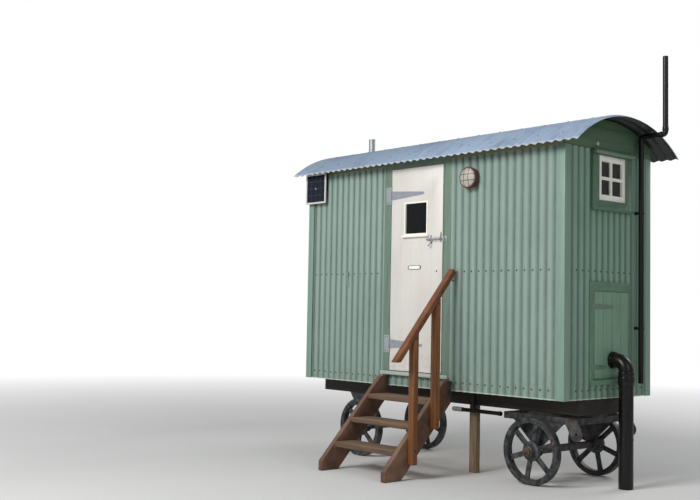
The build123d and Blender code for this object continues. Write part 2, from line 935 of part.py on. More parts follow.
def solar_panel():
    """Framed panel near the left corner, on two battens."""
    y1 = -(half_width + solar_stand_off)
    y0 = y1 - solar_thickness
    x0 = -half_length - solar_overlap
    z0 = base + solar_bottom
    panel = box(x0, x0 + solar_width, y0, y1, z0, z0 + solar_height)
    for edge in (solar_batten_inset, solar_height - solar_batten_inset - solar_batten):
        panel += box(-half_length, x0 + solar_width - solar_batten_inset, y1, -half_width,
                     z0 + edge, z0 + edge + solar_batten)
    return panel


def soil_pipe():
    """Pipe out of the hatch that turns down and runs to the ground."""
    z = base + soil_height
    x0 = inner_x
    x1 = half_length + soil_stand_off
    route = [(x0, soil_y, z)]
    for index in range(soil_bend_count + 1):
        angle = math.radians(90.0 * index / soil_bend_count)
        route.append((x1 - soil_bend + soil_bend * math.sin(angle), soil_y,
                      z - soil_bend + soil_bend * math.cos(angle)))
    route.append((x1, soil_y, 0.0))
    pipe = pipe_along(soil_radius, route)
    x_socket = half_length + hatch_proud
    socket = rod(soil_socket_radius, (x_socket, soil_y, z), (x_socket + soil_socket_length, soil_y, z))
    z_top = z - soil_bend - soil_coupling_drop
    coupling = rod(soil_socket_radius, (x1, soil_y, z_top - soil_coupling_length), (x1, soil_y, z_top))
    return pipe + socket + coupling


def vent_pipe():
    """Thin pipe up the end wall that steps out round the roof and goes on up."""
    x0 = half_length + vent_stand_off
    x1 = half_length + vent_outer_stand_off
    vent_y = -frame_y + first_crest_end + vent_crest_count * pitch
    z_turn = base + cladding_height + vent_turn_rise
    z_top = base + crown_above_cladding + vent_top_rise
    pipe = pipe_along(vent_radius, [(x0, vent_y, base + vent_foot), (x0, vent_y, z_turn),
                                    (x1, vent_y, z_turn), (x1, vent_y, z_top)])
    for x, way in ((x0, -1), (x1, 1)):
        near = z_turn + way * vent_elbow_gap
        far = near + way * vent_elbow_length
        pipe += rod(vent_elbow_radius, (x, vent_y, near), (x, vent_y, far))
    for height in vent_clip_heights:
        z0 = base + height
        z1 = z0 + vent_clip_height
        pipe += box(crest_x, x0, vent_y - crest_flat / 2, vent_y + crest_flat / 2, z0, z1)
        pipe += rod(vent_elbow_radius, (x0, vent_y, z0), (x0, vent_y, z1))
    return pipe


def flue():
    """Short galvanised flue behind the crown of the roof."""
    top = base + crown_above_cladding + flue_rise
    pipe = rod(flue_radius, (flue_x, flue_y, roof_centre_z), (flue_x, flue_y, top))
    return pipe - under_barrel(roof_radius, flue_x - 2 * flue_radius, flue_x + 2 * flue_radius)


def chassis_beams():
    """Two long beams under the floor with crossbeams over the axles and at the ends."""
    z0 = beam_bottom
    z1 = platform_bottom
    half = crossbeam_width / 2
    frame = None
    for side in (-1, 1):
        y = side * beam_y
        beam = box(-frame_x, frame_x, y - beam_width / 2, y + beam_width / 2, z0, z1)
        frame = beam if frame is None else frame + beam
    for x in (-frame_x + half, rear_axle_x, 0.0, front_axle_x, frame_x - half):
        frame += box(x - half, x + half, -beam_y, beam_y, z0, z1)
    return frame


def turntable_ring(z0):
    """One flat ring of the turntable with its centre plate."""
    z1 = z0 + ring_thickness
    x = front_axle_x
    ring = rod(ring_radius, (x, 0, z0), (x, 0, z1))
    ring -= rod(ring_radius - ring_width, (x, 0, z0 - overshoot), (x, 0, z1 + overshoot))
    return [ring, rod(centre_plate_radius, (x, 0, z0), (x, 0, z1))]


def channel_along_x(x0, x1, y_web, side):
    """A channel lying along X with its flanges towards the middle of the hut."""
    z0 = channel_bottom
    z1 = carriage_top
    y0, y1 = sorted((y_web, y_web + side * channel_width))
    solid = box(x0, x1, y0, y1, z0, z1)
    y0, y1 = sorted((y_web + side * channel_web, y_web + side * (channel_width + overshoot)))
    return solid - box(x0 - overshoot, x1 + overshoot, y0, y1, z0 + channel_web, z1 - channel_web)


def channel_along_y(y0, y1, x_web, side):
    """A channel lying along Y with its flanges towards the axle."""
    z0 = channel_bottom
    z1 = carriage_top
    x0, x1 = sorted((x_web, x_web + side * channel_width))
    solid = box(x0, x1, y0, y1, z0, z1)
    x0, x1 = sorted((x_web + side * channel_web, x_web + side * (channel_width + overshoot)))
    return solid - box(x0, x1, y0 - overshoot, y1 + overshoot, z0 + channel_web, z1 - channel_web)


def carriage_frame():
    """Steel frame of the front carriage with its crossbar under the turntable."""
    x0 = front_axle_x - carriage_length / 2
    x1 = front_axle_x + carriage_length / 2
    y = carriage_width / 2
    frame = channel_along_x(x0, x1, -y, 1) + channel_along_x(x0, x1, y, -1)
    frame += channel_along_y(-y + channel_web, y - channel_web, x0, 1)
    frame += channel_along_y(-y + channel_web, y - channel_web, x1, -1)
    half = bolster_width / 2
    y_in = y - channel_web
    frame += box(front_axle_x - half, front_axle_x + half, -y_in, y_in, channel_bottom, carriage_top)
    return frame


def axle_horn(x, y0, y1, top):
    """A V plate that carries the axle below a side member."""
    r = horn_foot_radius
    drop = top - axle_height
    half_top = horn_half_top
    angle = math.atan2(half_top - r, drop)
    tangent_x = r * math.cos(angle)
    tangent_z = axle_height + r * math.sin(angle)
    outline = [
        (x - half_top, top),
        (x - tangent_x, tangent_z),
        (x + tangent_x, tangent_z),
        (x + half_top, top),
    ]
    horn = plate_xz(outline, y0, y1)
    return horn + rod(r, (x, y0, axle_height), (x, y1, axle_height))


def axle_with_stubs(x, half_square):
    """Square axle with a round stub and an end cap for each wheel."""
    z = axle_height
    outer = wheel_y + hub_length / 2 + cap_gap
    inner = wheel_y - hub_length / 2 - running_gap
    half = axle_square / 2
    square = box(x - half, x + half, -half_square, half_square, z - half, z + half)
    stubs = rod(axle_radius, (x, -outer - overshoot, z), (x, outer + overshoot, z))
    axle = square + stubs
    for side in (-1, 1):
        axle += rod(cap_radius, (x, side * outer, z), (x, side * (outer + cap_length), z))
        axle += rod(cap_radius, (x, side * half_square, z), (x, side * inner, z))
    return axle


def front_axle():
    """Axle of the front carriage between its horns."""
    return axle_with_stubs(front_axle_x, carriage_width / 2 - horn_thickness)


def rear_axle():
    """Axle under the back of the hut."""
    return axle_with_stubs(rear_axle_x, beam_y + beam_width / 2 - horn_thickness)


def front_horns():
    """The two V plates of the front carriage with the hole for the axle filled by it."""
    y = carriage_width / 2
    horn = axle_horn(front_axle_x, y - horn_thickness, y, channel_bottom)
    horn -= rod(cap_radius + running_gap, (front_axle_x, 0, axle_height),
                (front_axle_x, y + overshoot, axle_height))
    return [horn, mirrored(horn)]


def rear_horns():
    """The two V plates under the long beams at the rear axle."""
    y = beam_y + beam_width / 2
    horn = axle_horn(rear_axle_x, y - horn_thickness, y, beam_bottom)
    horn -= rod(cap_radius + running_gap, (rear_axle_x, 0, axle_height),
                (rear_axle_x, y + overshoot, axle_height))
    return [horn, mirrored(horn)]


def drawbar_lugs():
    """Plates with eyes at the front of the carriage for a drawbar."""
    x_eye = front_axle_x + carriage_length / 2 + lug_reach
    z_eye = channel_bottom - lug_drop
    x0 = front_axle_x + carriage_length / 2 - lug_neck
    x1 = front_axle_x + carriage_length / 2
    y = -carriage_width / 2
    r = lug_radius
    high = math.radians(lug_high_angle)
    low = math.radians(lug_low_angle)
    outline = [
        (x0, carriage_top),
        (x1, carriage_top),
        (x1, channel_bottom),
        (x_eye + r * math.cos(high), z_eye + r * math.sin(high)),
        (x_eye + r * math.cos(low), z_eye + r * math.sin(low)),
        (x0, channel_bottom),
    ]
    lug = plate_xz(outline, y - lug_thickness, y)
    lug += rod(r, (x_eye, y - lug_thickness, z_eye), (x_eye, y, z_eye))
    lug -= drilled_hole(lug_hole_radius, (x_eye, y - lug_thickness - overshoot, z_eye),
                        (x_eye, y + overshoot, z_eye))
    return [lug, mirrored(lug)]


def wheel(x, side):
    """Cast wheel with flat spokes, on one side of an axle."""
    z = axle_height
    y = side * wheel_y
    y0 = y - tyre_width / 2
    y1 = y + tyre_width / 2
    tyre = rod(wheel_radius, (x, y0, z), (x, y1, z))
    tyre -= rod(wheel_radius - tyre_thickness, (x, y0 - overshoot, z), (x, y1 + overshoot, z))
    hub = rod(hub_radius, (x, y - hub_length / 2, z), (x, y + hub_length / 2, z))
    hub += rod(hub_flange_radius, (x, y - spoke_thickness, z), (x, y + spoke_thickness, z))
    cast = tyre + hub
    reach = wheel_radius - tyre_thickness / 2
    for index in range(spoke_count):
        half = spoke_thickness / 2
        spoke = box(-spoke_width / 2, spoke_width / 2, -half, half, hub_radius - half, reach)
        cast += Pos(x, y, z) * Rot(0, 360.0 * index / spoke_count + spoke_start, 0) * spoke
    bore = rod(axle_radius + axle_clearance, (x, y - hub_length, z), (x, y + hub_length, z))
    return cast - bore


def step_stringers():
    """The two sloping boards of the steps, cut level at the foot and the top."""
    front_y = crest_y + stringer_top_cut
    top_z = base + stringer_top
    nose_y = front_y + (top_z - stringer_nose) / step_slope
    foot_back_y = front_y + (top_z - stringer_vertical) / step_slope
    wall_y = crest_y
    back_z = top_z + stringer_top_cut * step_slope - stringer_vertical
    outline = [
        (-wall_y, top_z),
        (-front_y, top_z),
        (-nose_y, stringer_nose),
        (-nose_y, 0.0),
        (-foot_back_y, 0.0),
        (-wall_y, back_z),
    ]
    left = plate_yz(outline, stringer_left, stringer_left + stringer_thickness)
    right = plate_yz(outline, stringer_right - stringer_thickness, stringer_right)
    return [left, right]


def step_treads():
    """Boards between the stringers, one rise apart."""
    front_y = crest_y + stringer_top_cut
    treads = []
    for index in range(step_count):
        z = threshold_top - (index + 1) * step_rise
        y = front_y + (base + stringer_top - z) / step_slope + tread_nosing
        treads.append(box(stringer_left + stringer_thickness, stringer_right - stringer_thickness,
                          -y, -y + tread_depth, z - tread_thickness, z))
    return treads


def rail_top(y):
    """Height of the handrail's top edge at a distance in front of the wall."""
    return base + rail_top_z + (rail_top_y - y) * rail_slope


def handrail():
    """Sloping rail with a level cut at its foot and a square cut at its top."""
    vertical = rail_depth / math.cos(math.atan(rail_slope))
    foot_z = base + rail_foot
    y_foot = rail_top_y + (rail_top(rail_top_y) - foot_z) / rail_slope
    y_foot_in = y_foot - vertical / rail_slope
    angle = math.atan(rail_slope)
    y_top = rail_wall_gap + rail_depth * math.sin(angle)
    outline = [
        (-half_width - y_foot, foot_z),
        (-half_width - y_foot_in, foot_z),
        (-half_width - rail_wall_gap, rail_top(rail_wall_gap) - vertical),
        (-half_width - y_top, rail_top(y_top)),
    ]
    return plate_yz(outline, stringer_right, stringer_right + post_width)


def rail_posts():
    """Upright posts on the outside of the right stringer, their tops cut to the rail."""
    vertical = rail_depth / math.cos(math.atan(rail_slope))
    posts = []
    for centre, foot in zip(post_centres, post_feet):
        y0 = centre - post_depth / 2
        y1 = centre + post_depth / 2
        outline = [
            (-half_width - y1, foot),
            (-half_width - y0, foot),
            (-half_width - y0, rail_top(y0) - vertical),
            (-half_width - y1, rail_top(y1) - vertical),
        ]
        posts.append(plate_yz(outline, stringer_right, stringer_right + post_width))
    return posts


def step_hooks():
    """Iron straps on the stringers that hook onto the front of the hut."""
    hooks = []
    z1 = base + stringer_top - step_hook_inset
    leg_y = crest_y + step_hook_start
    outline = [
        (-leg_y, z1 - step_hook_length),
        (-leg_y - step_hook_width, z1 - step_hook_length),
        (-leg_y - step_hook_width, z1),
        (-crest_y, z1),
        (-crest_y, z1 - step_hook_width),
        (-leg_y, z1 - step_hook_width),
    ]
    for x0 in (stringer_left - step_hook_iron, stringer_right):
        hooks.append(plate_yz(outline, x0, x0 + step_hook_iron))
    return hooks


def prop():
    """Timber leg under the front beam."""
    y0 = -beam_y - prop_depth / 2
    x0 = prop_x - prop_width / 2
    return box(x0, x0 + prop_width, y0, y0 + prop_depth, 0.0, beam_bottom)


def waste_pipe():
    """Grey-water pipe below the front beam with its riser to the floor."""
    z = base + waste_z
    y = -waste_y
    run = rod(waste_radius, (waste_start, y, z), (waste_end, y, z))
    riser = rod(waste_radius, (waste_riser, y, z), (waste_riser, y, platform_bottom))
    socket = rod(waste_socket_radius, (waste_start, y, z), (waste_start + waste_socket_length, y, z))
    return run + riser + socket


def platform():
    """Joisted floor that the walls stand on."""
    return box(-frame_x, frame_x, -frame_y, frame_y, platform_bottom, floor_z)


def pieces():
    """Every piece by name, as one shape or a list of shapes."""
    parts = {"floor_platform": platform()}
    parts.update(wall_slabs())
    parts["side_cladding"] = front_cladding() + [back_cladding()]
    parts["end_cladding"] = [end_cladding(-1), right_end_cladding()]
    parts["corner_trims"] = corner_trims()
    parts["gable_boards"] = gable_boards()
    parts["eaves_boards"] = eaves_boards()
    parts["roof_lining"] = roof_lining()
    parts["roof_sheet"] = corrugated_roof()
    parts["door_frame"] = door_frame()
    parts["threshold"] = threshold() + inner_sill()
    parts["door_leaf"] = door_leaf()
    parts["door_glass"] = door_glass()
    parts["door_window_bead"] = door_window_bead()
    parts["door_ironwork"] = hinge_straps() + [bolt_plate()]
    parts["frame_ironwork"] = hinge_plates() + [bolt_keeper(), hook_eye()]
    parts["door_bolt"] = door_bolt()
    parts["hold_back_hook"] = hold_back_hook()
    parts["end_window_boards"] = end_window_boards()
    parts["end_window_sash"] = end_window_sash()
    parts["end_window_glass"] = end_window_glass()
    parts["hatch_frame"] = hatch_frame()
    parts["hatch_door"] = hatch_door()
    parts["hatch_hinges"] = hatch_hinges()
    parts["lamp_body"] = lamp_body()
    parts["lamp_glass"] = lamp_glass()
    parts["solar_panel"] = solar_panel()
    parts["soil_pipe"] = soil_pipe()
    parts["vent_pipe"] = vent_pipe()
    parts["flue"] = flue()
    parts["chassis_beams"] = chassis_beams()
    parts["turntable_upper"] = turntable_ring(beam_bottom - ring_thickness)
    parts["turntable_lower"] = turntable_ring(carriage_top)
    parts["carriage_frame"] = carriage_frame()
    parts["front_horns"] = front_horns()
    parts["front_axle"] = front_axle()
    parts["drawbar_lugs"] = drawbar_lugs()
    parts["rear_horns"] = rear_horns()
    parts["rear_axle"] = rear_axle()
    for name, x in (("front", front_axle_x), ("rear", rear_axle_x)):
        parts[f"{name}_wheel_near"] = wheel(x, -1)
        parts[f"{name}_wheel_far"] = wheel(x, 1)
    parts["step_stringers"] = step_stringers()
    parts["step_treads"] = step_treads()
    parts["step_hooks"] = step_hooks()
    parts["rail_posts"] = rail_posts()
    parts["handrail"] = handrail()
    parts["prop"] = prop()
    parts["waste_pipe"] = waste_pipe()
    return parts


def as_compound(shape):
    """One compound of the solids of a piece."""
    shapes = shape if isinstance(shape, list) else [shape]
    return Compound([solid for item in shapes for solid in item.solids()])


def main():
    """Build every piece, put the origin below the middle of the whole and write the files."""
    os.makedirs("parts", exist_ok=True)
    built = {name: as_compound(shape) for name, shape in pieces().items()}
    boxes = [item.bounding_box() for item in built.values()]
    middle_x = (min(b.min.X for b in boxes) + max(b.max.X for b in boxes)) / 2
    middle_y = (min(b.min.Y for b in boxes) + max(b.max.Y for b in boxes)) / 2
    for name, item in built.items():
        export_step(Pos(-middle_x, -middle_y, 0) * item, f"parts/{name}.step")
    print("origin of the hut in the drawing", middle_x, middle_y)


main()
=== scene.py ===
"""A small shepherds hut with corrugated walls, a barrel roof, front steps and cast wheels.

The frame gives the solids in metres. +X runs along the hut to the end with the hatch, +Y to the back wall.
"""
import json
import math

import bmesh
import bpy
from mathutils import Matrix, Vector

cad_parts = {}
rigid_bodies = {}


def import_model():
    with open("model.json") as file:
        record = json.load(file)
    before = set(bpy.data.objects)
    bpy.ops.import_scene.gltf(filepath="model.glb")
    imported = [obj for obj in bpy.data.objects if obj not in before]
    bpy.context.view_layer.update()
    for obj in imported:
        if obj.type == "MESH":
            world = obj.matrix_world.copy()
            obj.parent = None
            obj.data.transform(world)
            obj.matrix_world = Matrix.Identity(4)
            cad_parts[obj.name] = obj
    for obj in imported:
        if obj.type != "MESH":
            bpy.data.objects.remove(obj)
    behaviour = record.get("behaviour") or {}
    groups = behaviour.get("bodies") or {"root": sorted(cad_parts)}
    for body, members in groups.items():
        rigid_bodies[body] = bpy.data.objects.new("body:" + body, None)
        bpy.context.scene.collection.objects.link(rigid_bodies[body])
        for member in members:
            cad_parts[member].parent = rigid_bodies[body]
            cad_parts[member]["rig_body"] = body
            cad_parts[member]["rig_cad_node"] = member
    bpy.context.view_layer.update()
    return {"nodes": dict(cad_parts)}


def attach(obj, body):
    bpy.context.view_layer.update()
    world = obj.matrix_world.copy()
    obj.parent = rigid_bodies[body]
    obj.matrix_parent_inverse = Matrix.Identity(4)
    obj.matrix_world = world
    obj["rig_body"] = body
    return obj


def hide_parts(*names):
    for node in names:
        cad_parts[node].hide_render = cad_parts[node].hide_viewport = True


bpy.ops.object.select_all(action="SELECT")
bpy.ops.object.delete()
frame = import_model()

# sizes of the hut, in metres
PITCH = 0.0762  # from one crest of the corrugated sheets to the next
DEPTH = 0.015  # from their crests to their valleys
SHEET = 0.0016  # their thickness
BASE = 0.664  # the foot of the wall sheets
SHEET_TOP = 2.544
SHEET_HEIGHT = SHEET_TOP - BASE
FRONT = -0.258  # the crests of the four walls
BACK = 0.856
RIGHT = 1.382
LEFT = -1.567
MIDDLE = 0.299  # halfway between the front and the back
DOOR_FACE = -0.261
WINDOW_SHIFT = Vector((-0.042, 0.0, 0.0))  # from the solid's door window to the place it has in the photo
BOLT_LEVEL = 1.892
HINGE_LEVELS = (1.016, 2.286)
SCREW_ROWS = (0.7333, 1.6207)
ROOF_RADIUS = 1.048
ROOF_MIDDLE = Vector((0.0, MIDDLE, 1.754))
ROOF_HALF = math.radians(40.46)  # half of its arc
ROOF_START = -1.675
ROOF_END = 1.571
ROOF_CREST = ROOF_START + 0.0115  # the first crest after its start
FRONT_AXLE = 0.980
REAR_AXLE = -0.950
AXLE_HEIGHT = 0.254
WHEEL_RADIUS = 0.254

# the camera of the photo: where it stands, how it is turned, and its focal length, in degrees and pixels
CAMERA_PLACE = (5.9496, -6.3538, 1.2870)
CAMERA_YAW, CAMERA_PITCH, CAMERA_ROLL = 48.666, 3.410, 1.066
PHOTO_WIDTH = 700.0
FOCAL_LENGTH = 1026.87
SENSOR_WIDTH = 36.0  # in millimetres

# limits that the modelling steps share
MERGE_WITHIN = 0.00002
NEAR_MIDDLE = 0.0004
ALIGNED = 0.9  # the cosine above which a face counts as looking along a direction
SMOOTH_BELOW = 40.0  # degrees

# the grain of timber and of brush marks: noise is drawn out where the number is small
UPRIGHT = (1, 1, 0.05)
ALONG_X = (0.05, 1, 1)
ALONG_Y = (1, 0.05, 1)
SLOPING = (1, 0.3, 0.3)
ALONG_STEPS = (1, 0.2, 0.2)
EVEN = (1, 1, 1)


# camera

def photo_camera():
    """The camera at the place and angle of the photograph."""
    yaw, pitch, roll = (math.radians(a) for a in (CAMERA_YAW, CAMERA_PITCH, CAMERA_ROLL))
    ahead = Vector((-math.sin(yaw) * math.cos(pitch), math.cos(yaw) * math.cos(pitch), math.sin(pitch)))
    level = ahead.cross(Vector((0, 0, 1))).normalized()
    upright = level.cross(ahead)
    right = level * math.cos(roll) + upright * math.sin(roll)
    up = upright * math.cos(roll) - level * math.sin(roll)
    turn = Matrix((right, up, -ahead)).transposed()
    data = bpy.data.cameras.new("photo_camera")
    data.sensor_width = SENSOR_WIDTH
    data.lens = SENSOR_WIDTH * FOCAL_LENGTH / PHOTO_WIDTH
    data.clip_start = 0.1
    data.clip_end = 200.0
    camera = bpy.data.objects.new("photo_camera", data)
    bpy.context.scene.collection.objects.link(camera)
    camera.matrix_world = Matrix.Translation(CAMERA_PLACE) @ turn.to_4x4()
    bpy.context.scene.camera = camera


# finishes

def tint(red, green, blue):
    """A colour given as it looks on screen, from 0 to 255."""
    parts = []
    for value in (red, green, blue):
        v = value / 255.0
        parts.append(v / 12.92 if v <= 0.04045 else ((v + 0.055) / 1.055) ** 2.4)
    return (*parts, 1.0)


class Finish:
    """One material and the nodes that paint it."""

    def __init__(self, name, colour, roughness=0.5, metallic=0.0):
        self.material = bpy.data.materials.new(name)
        self.material.use_nodes = True
        self.material.diffuse_color = colour
        self.tree = self.material.node_tree
        self.shader = self.tree.nodes["Principled BSDF"]
        self.shader.inputs["Base Color"].default_value = colour
        self.shader.inputs["Roughness"].default_value = roughness
        self.shader.inputs["Metallic"].default_value = metallic
        self.places = self.tree.nodes.new("ShaderNodeTexCoord").outputs["Object"]
        self.axes = None

    def join(self, value, socket):
        """A number or colour is typed into the socket, an output is wired to it."""
        if isinstance(value, bpy.types.NodeSocket):
            self.tree.links.new(value, socket)
        else:
            socket.default_value = value

    def axis(self, letter):
        """The X, Y or Z of the place."""
        if self.axes is None:
            self.axes = self.tree.nodes.new("ShaderNodeSeparateXYZ")
            self.join(self.places, self.axes.inputs[0])
        return self.axes.outputs[letter]

    def facing(self, letter):
        """How far the surface faces along X, Y or Z."""
        split = self.tree.nodes.new("ShaderNodeSeparateXYZ")
        self.join(self.tree.nodes.new("ShaderNodeNewGeometry").outputs["Normal"], split.inputs[0])
        return split.outputs[letter]

    def spread(self, scale, shift=(0, 0, 0)):
        """The place, stretched and shifted."""
        node = self.tree.nodes.new("ShaderNodeMapping")
        node.inputs["Scale"].default_value = scale
        node.inputs["Location"].default_value = shift
        self.join(self.places, node.inputs["Vector"])
        return node.outputs[0]

    def cloud(self, scale, stretch=(1, 1, 1), detail=3.0, rough=0.55, shift=(0, 0, 0)):
        """Soft noise from 0 to 1."""
        node = self.tree.nodes.new("ShaderNodeTexNoise")
        node.inputs["Scale"].default_value = scale
        node.inputs["Detail"].default_value = detail
        node.inputs["Roughness"].default_value = rough
        self.join(self.spread(stretch, shift), node.inputs["Vector"])
        return node.outputs["Fac"]

    def cells(self, scale, stretch=(1, 1, 1), output="Distance", shift=(0, 0, 0)):
        """Voronoi cells: the distance from their middles, or a colour of their own."""
        node = self.tree.nodes.new("ShaderNodeTexVoronoi")
        node.inputs["Scale"].default_value = scale
        self.join(self.spread(stretch, shift), node.inputs["Vector"])
        return node.outputs[output]

    def sum(self, operation, first, second=0.0):
        """Arithmetic on two values."""
        node = self.tree.nodes.new("ShaderNodeMath")
        node.operation = operation
        self.join(first, node.inputs[0])
        self.join(second, node.inputs[1])
        return node.outputs[0]

    def lift(self, value, low, high, bottom=0.0, top=1.0):
        """The value, brought from low..high to bottom..top and held there."""
        node = self.tree.nodes.new("ShaderNodeMapRange")
        self.join(value, node.inputs["Value"])
        node.inputs["From Min"].default_value = low
        node.inputs["From Max"].default_value = high
        node.inputs["To Min"].default_value = bottom
        node.inputs["To Max"].default_value = top
        return node.outputs[0]

    def mix(self, factor, first, second, way="MIX"):
        """Two colours mixed by a factor."""
        node = self.tree.nodes.new("ShaderNodeMix")
        node.data_type = "RGBA"
        node.blend_type = way
        self.join(factor, node.inputs[0])
        self.join(first, node.inputs[6])
        self.join(second, node.inputs[7])
        return node.outputs[2]

    def stain(self, shade, mask, strength, colour):
        """A colour laid over another one where a mask is 1, at a strength."""
        return self.mix(self.sum("MULTIPLY", mask, strength), shade, colour)

    def lines(self, letter, gap, width, start=0.0):
        """1 in thin lines across an axis, a gap apart, and 0 between them."""
        place = self.sum("SUBTRACT", self.axis(letter), start)
        middle = self.sum("PINGPONG", place, gap / 2)
        return self.lift(middle, width * 0.5, width, 1.0, 0.0)

    def near(self, x, y, z, radius):
        """1 inside a small ball round a place, fading to 0 at its radius."""
        node = self.tree.nodes.new("ShaderNodeVectorMath")
        node.operation = "DISTANCE"
        self.join(self.places, node.inputs[0])
        node.inputs[1].default_value = (x, y, z)
        return self.lift(node.outputs["Value"], radius * 0.7, radius, 1.0, 0.0)

    def colour(self, value):
        """The shader's colour."""
        self.join(value, self.shader.inputs["Base Color"])

    def dullness(self, value):
        """The shader's roughness."""
        self.join(value, self.shader.inputs["Roughness"])

    def metal(self, value):
        """How metallic the shader is."""
        self.join(value, self.shader.inputs["Metallic"])

    def relief(self, height, strength=0.3, distance=0.001):
        """Small relief from a height."""
        node = self.tree.nodes.new("ShaderNodeBump")
        node.inputs["Strength"].default_value = strength
        node.inputs["Distance"].default_value = distance
        self.join(height, node.inputs["Height"])
        self.join(node.outputs[0], self.shader.inputs["Normal"])


def sheet_paint(name, letter, crest, inward, deep, light):
    """Green paint on corrugated sheet, darkened in the valleys with painted shade and dirt, with a bright lower
    edge.
    """
    f = Finish(name, light, 0.5)
    valley = f.lift(f.axis(letter), crest + inward * 0.0065, crest + inward * 0.0150)
    broad = f.cloud(1.6, detail=2.0)
    shade = f.mix(f.lift(broad, 0.35, 0.65), deep, light)
    streak = f.cloud(9.0, (1.0, 1.0, 0.07), 4.0, 0.6)
    shade = f.mix(f.lift(streak, 0.45, 0.75, 0.0, 0.3), shade, tint(122, 144, 134))
    pale = f.cloud(11.0, (1.0, 1.0, 0.05), 3.0, 0.6, (4.0, 2.0, 1.0))
    shade = f.mix(f.lift(pale, 0.56, 0.8, 0.0, 0.3), shade, tint(164, 181, 174))
    # painted shade and dirt in the valleys: the hollows are darkened, more in some places than others
    dirt = f.cloud(30.0, (1.0, 1.0, 0.4), 4.0)
    shade = f.stain(shade, valley, f.lift(dirt, 0.2, 0.7, 0.6, 0.85), tint(74, 95, 82))
    splash = f.sum("MULTIPLY", f.lift(f.axis("Z"), 0.92, BASE), f.lift(f.cloud(24.0), 0.42, 0.68))
    shade = f.stain(shade, splash, 0.45, tint(104, 112, 92))
    spots = f.lift(f.cells(5.5, (1.0, 1.0, 0.5)), 0.035, 0.015)
    rare = f.lift(f.cloud(2.3, shift=(3.0, 0.0, 7.0)), 0.55, 0.6)
    shade = f.stain(shade, spots, f.sum("MULTIPLY", rare, 0.75), tint(214, 220, 214))
    rim = f.lift(f.axis("Z"), BASE + 0.0090, BASE + 0.0060)
    shade = f.stain(shade, rim, 0.8, tint(196, 208, 198))
    f.colour(shade)
    f.dullness(f.lift(f.cloud(40.0), 0.3, 0.7, 0.44, 0.6))
    f.relief(f.cloud(6.0, (1.0, 1.0, 0.5), 2.0), 0.25, 0.006)
    return f.material


def painted_boards(name, colour, darker, paler, grain, seams=None):
    """Painted timber: brush marks along the grain, grime and worn places."""
    f = Finish(name, colour, 0.5)
    brush = f.cloud(42.0, grain, 4.0, 0.6)
    shade = f.mix(f.lift(brush, 0.35, 0.7), darker, colour)
    worn = f.cloud(7.0, grain, 5.0, 0.65, (2.0, 5.0, 1.0))
    shade = f.mix(f.lift(worn, 0.60, 0.78, 0.0, 0.55), shade, paler)
    height = f.cloud(60.0, grain, 3.0)
    if seams:
        letter, gap, width, start = seams
        line = f.lines(letter, gap, width, start)
        shade = f.stain(shade, line, 0.55, tint(46, 56, 46))
        height = f.sum("SUBTRACT", f.sum("MULTIPLY", height, 0.15), line)
    f.colour(shade)
    f.dullness(f.lift(f.cloud(25.0), 0.3, 0.7, 0.42, 0.6))
    f.relief(height, 0.35, 0.0015)
    return f.material


def cream_paint(name, seam_gap=None, seam_start=0.0):
    """Cream gloss paint with faint board joints, grey towards the foot and in small marks."""
    f = Finish(name, tint(214, 209, 203), 0.42)
    shade = f.mix(f.lift(f.cloud(5.0, (1, 1, 0.3)), 0.35, 0.7), tint(221, 217, 211), tint(215, 210, 203))
    grime = f.sum("MULTIPLY", f.lift(f.axis("Z"), 1.15, 0.79), f.lift(f.cloud(16.0), 0.45, 0.75))
    shade = f.stain(shade, grime, 0.4, tint(170, 160, 141))
    marks = f.lift(f.cells(9.0, (1, 1, 0.7)), 0.03, 0.012)
    shade = f.stain(shade, marks, 0.5, tint(150, 142, 126))
    height = f.cloud(35.0, (1, 1, 0.12), 3.0)
    if seam_gap:
        line = f.lines("X", seam_gap, 0.0035, seam_start)
        shade = f.stain(shade, line, 0.12, tint(150, 146, 138))
        height = f.sum("SUBTRACT", f.sum("MULTIPLY", height, 0.12), line)
    f.colour(shade)
    f.relief(height, 0.14, 0.001)
    return f.material


def bright_cream(name):
    """Fresh cream white gloss on the window bars, with a trace of green at the joints."""
    f = Finish(name, tint(248, 247, 236), 0.4)
    shade = f.mix(f.lift(f.cloud(14.0), 0.35, 0.7), tint(252, 250, 240), tint(243, 243, 230))
    f.colour(f.mix(f.lift(f.cloud(30.0, detail=4.0), 0.62, 0.8, 0.0, 0.5), shade, tint(196, 202, 184)))
    f.relief(f.cloud(50.0), 0.1, 0.001)
    return f.material


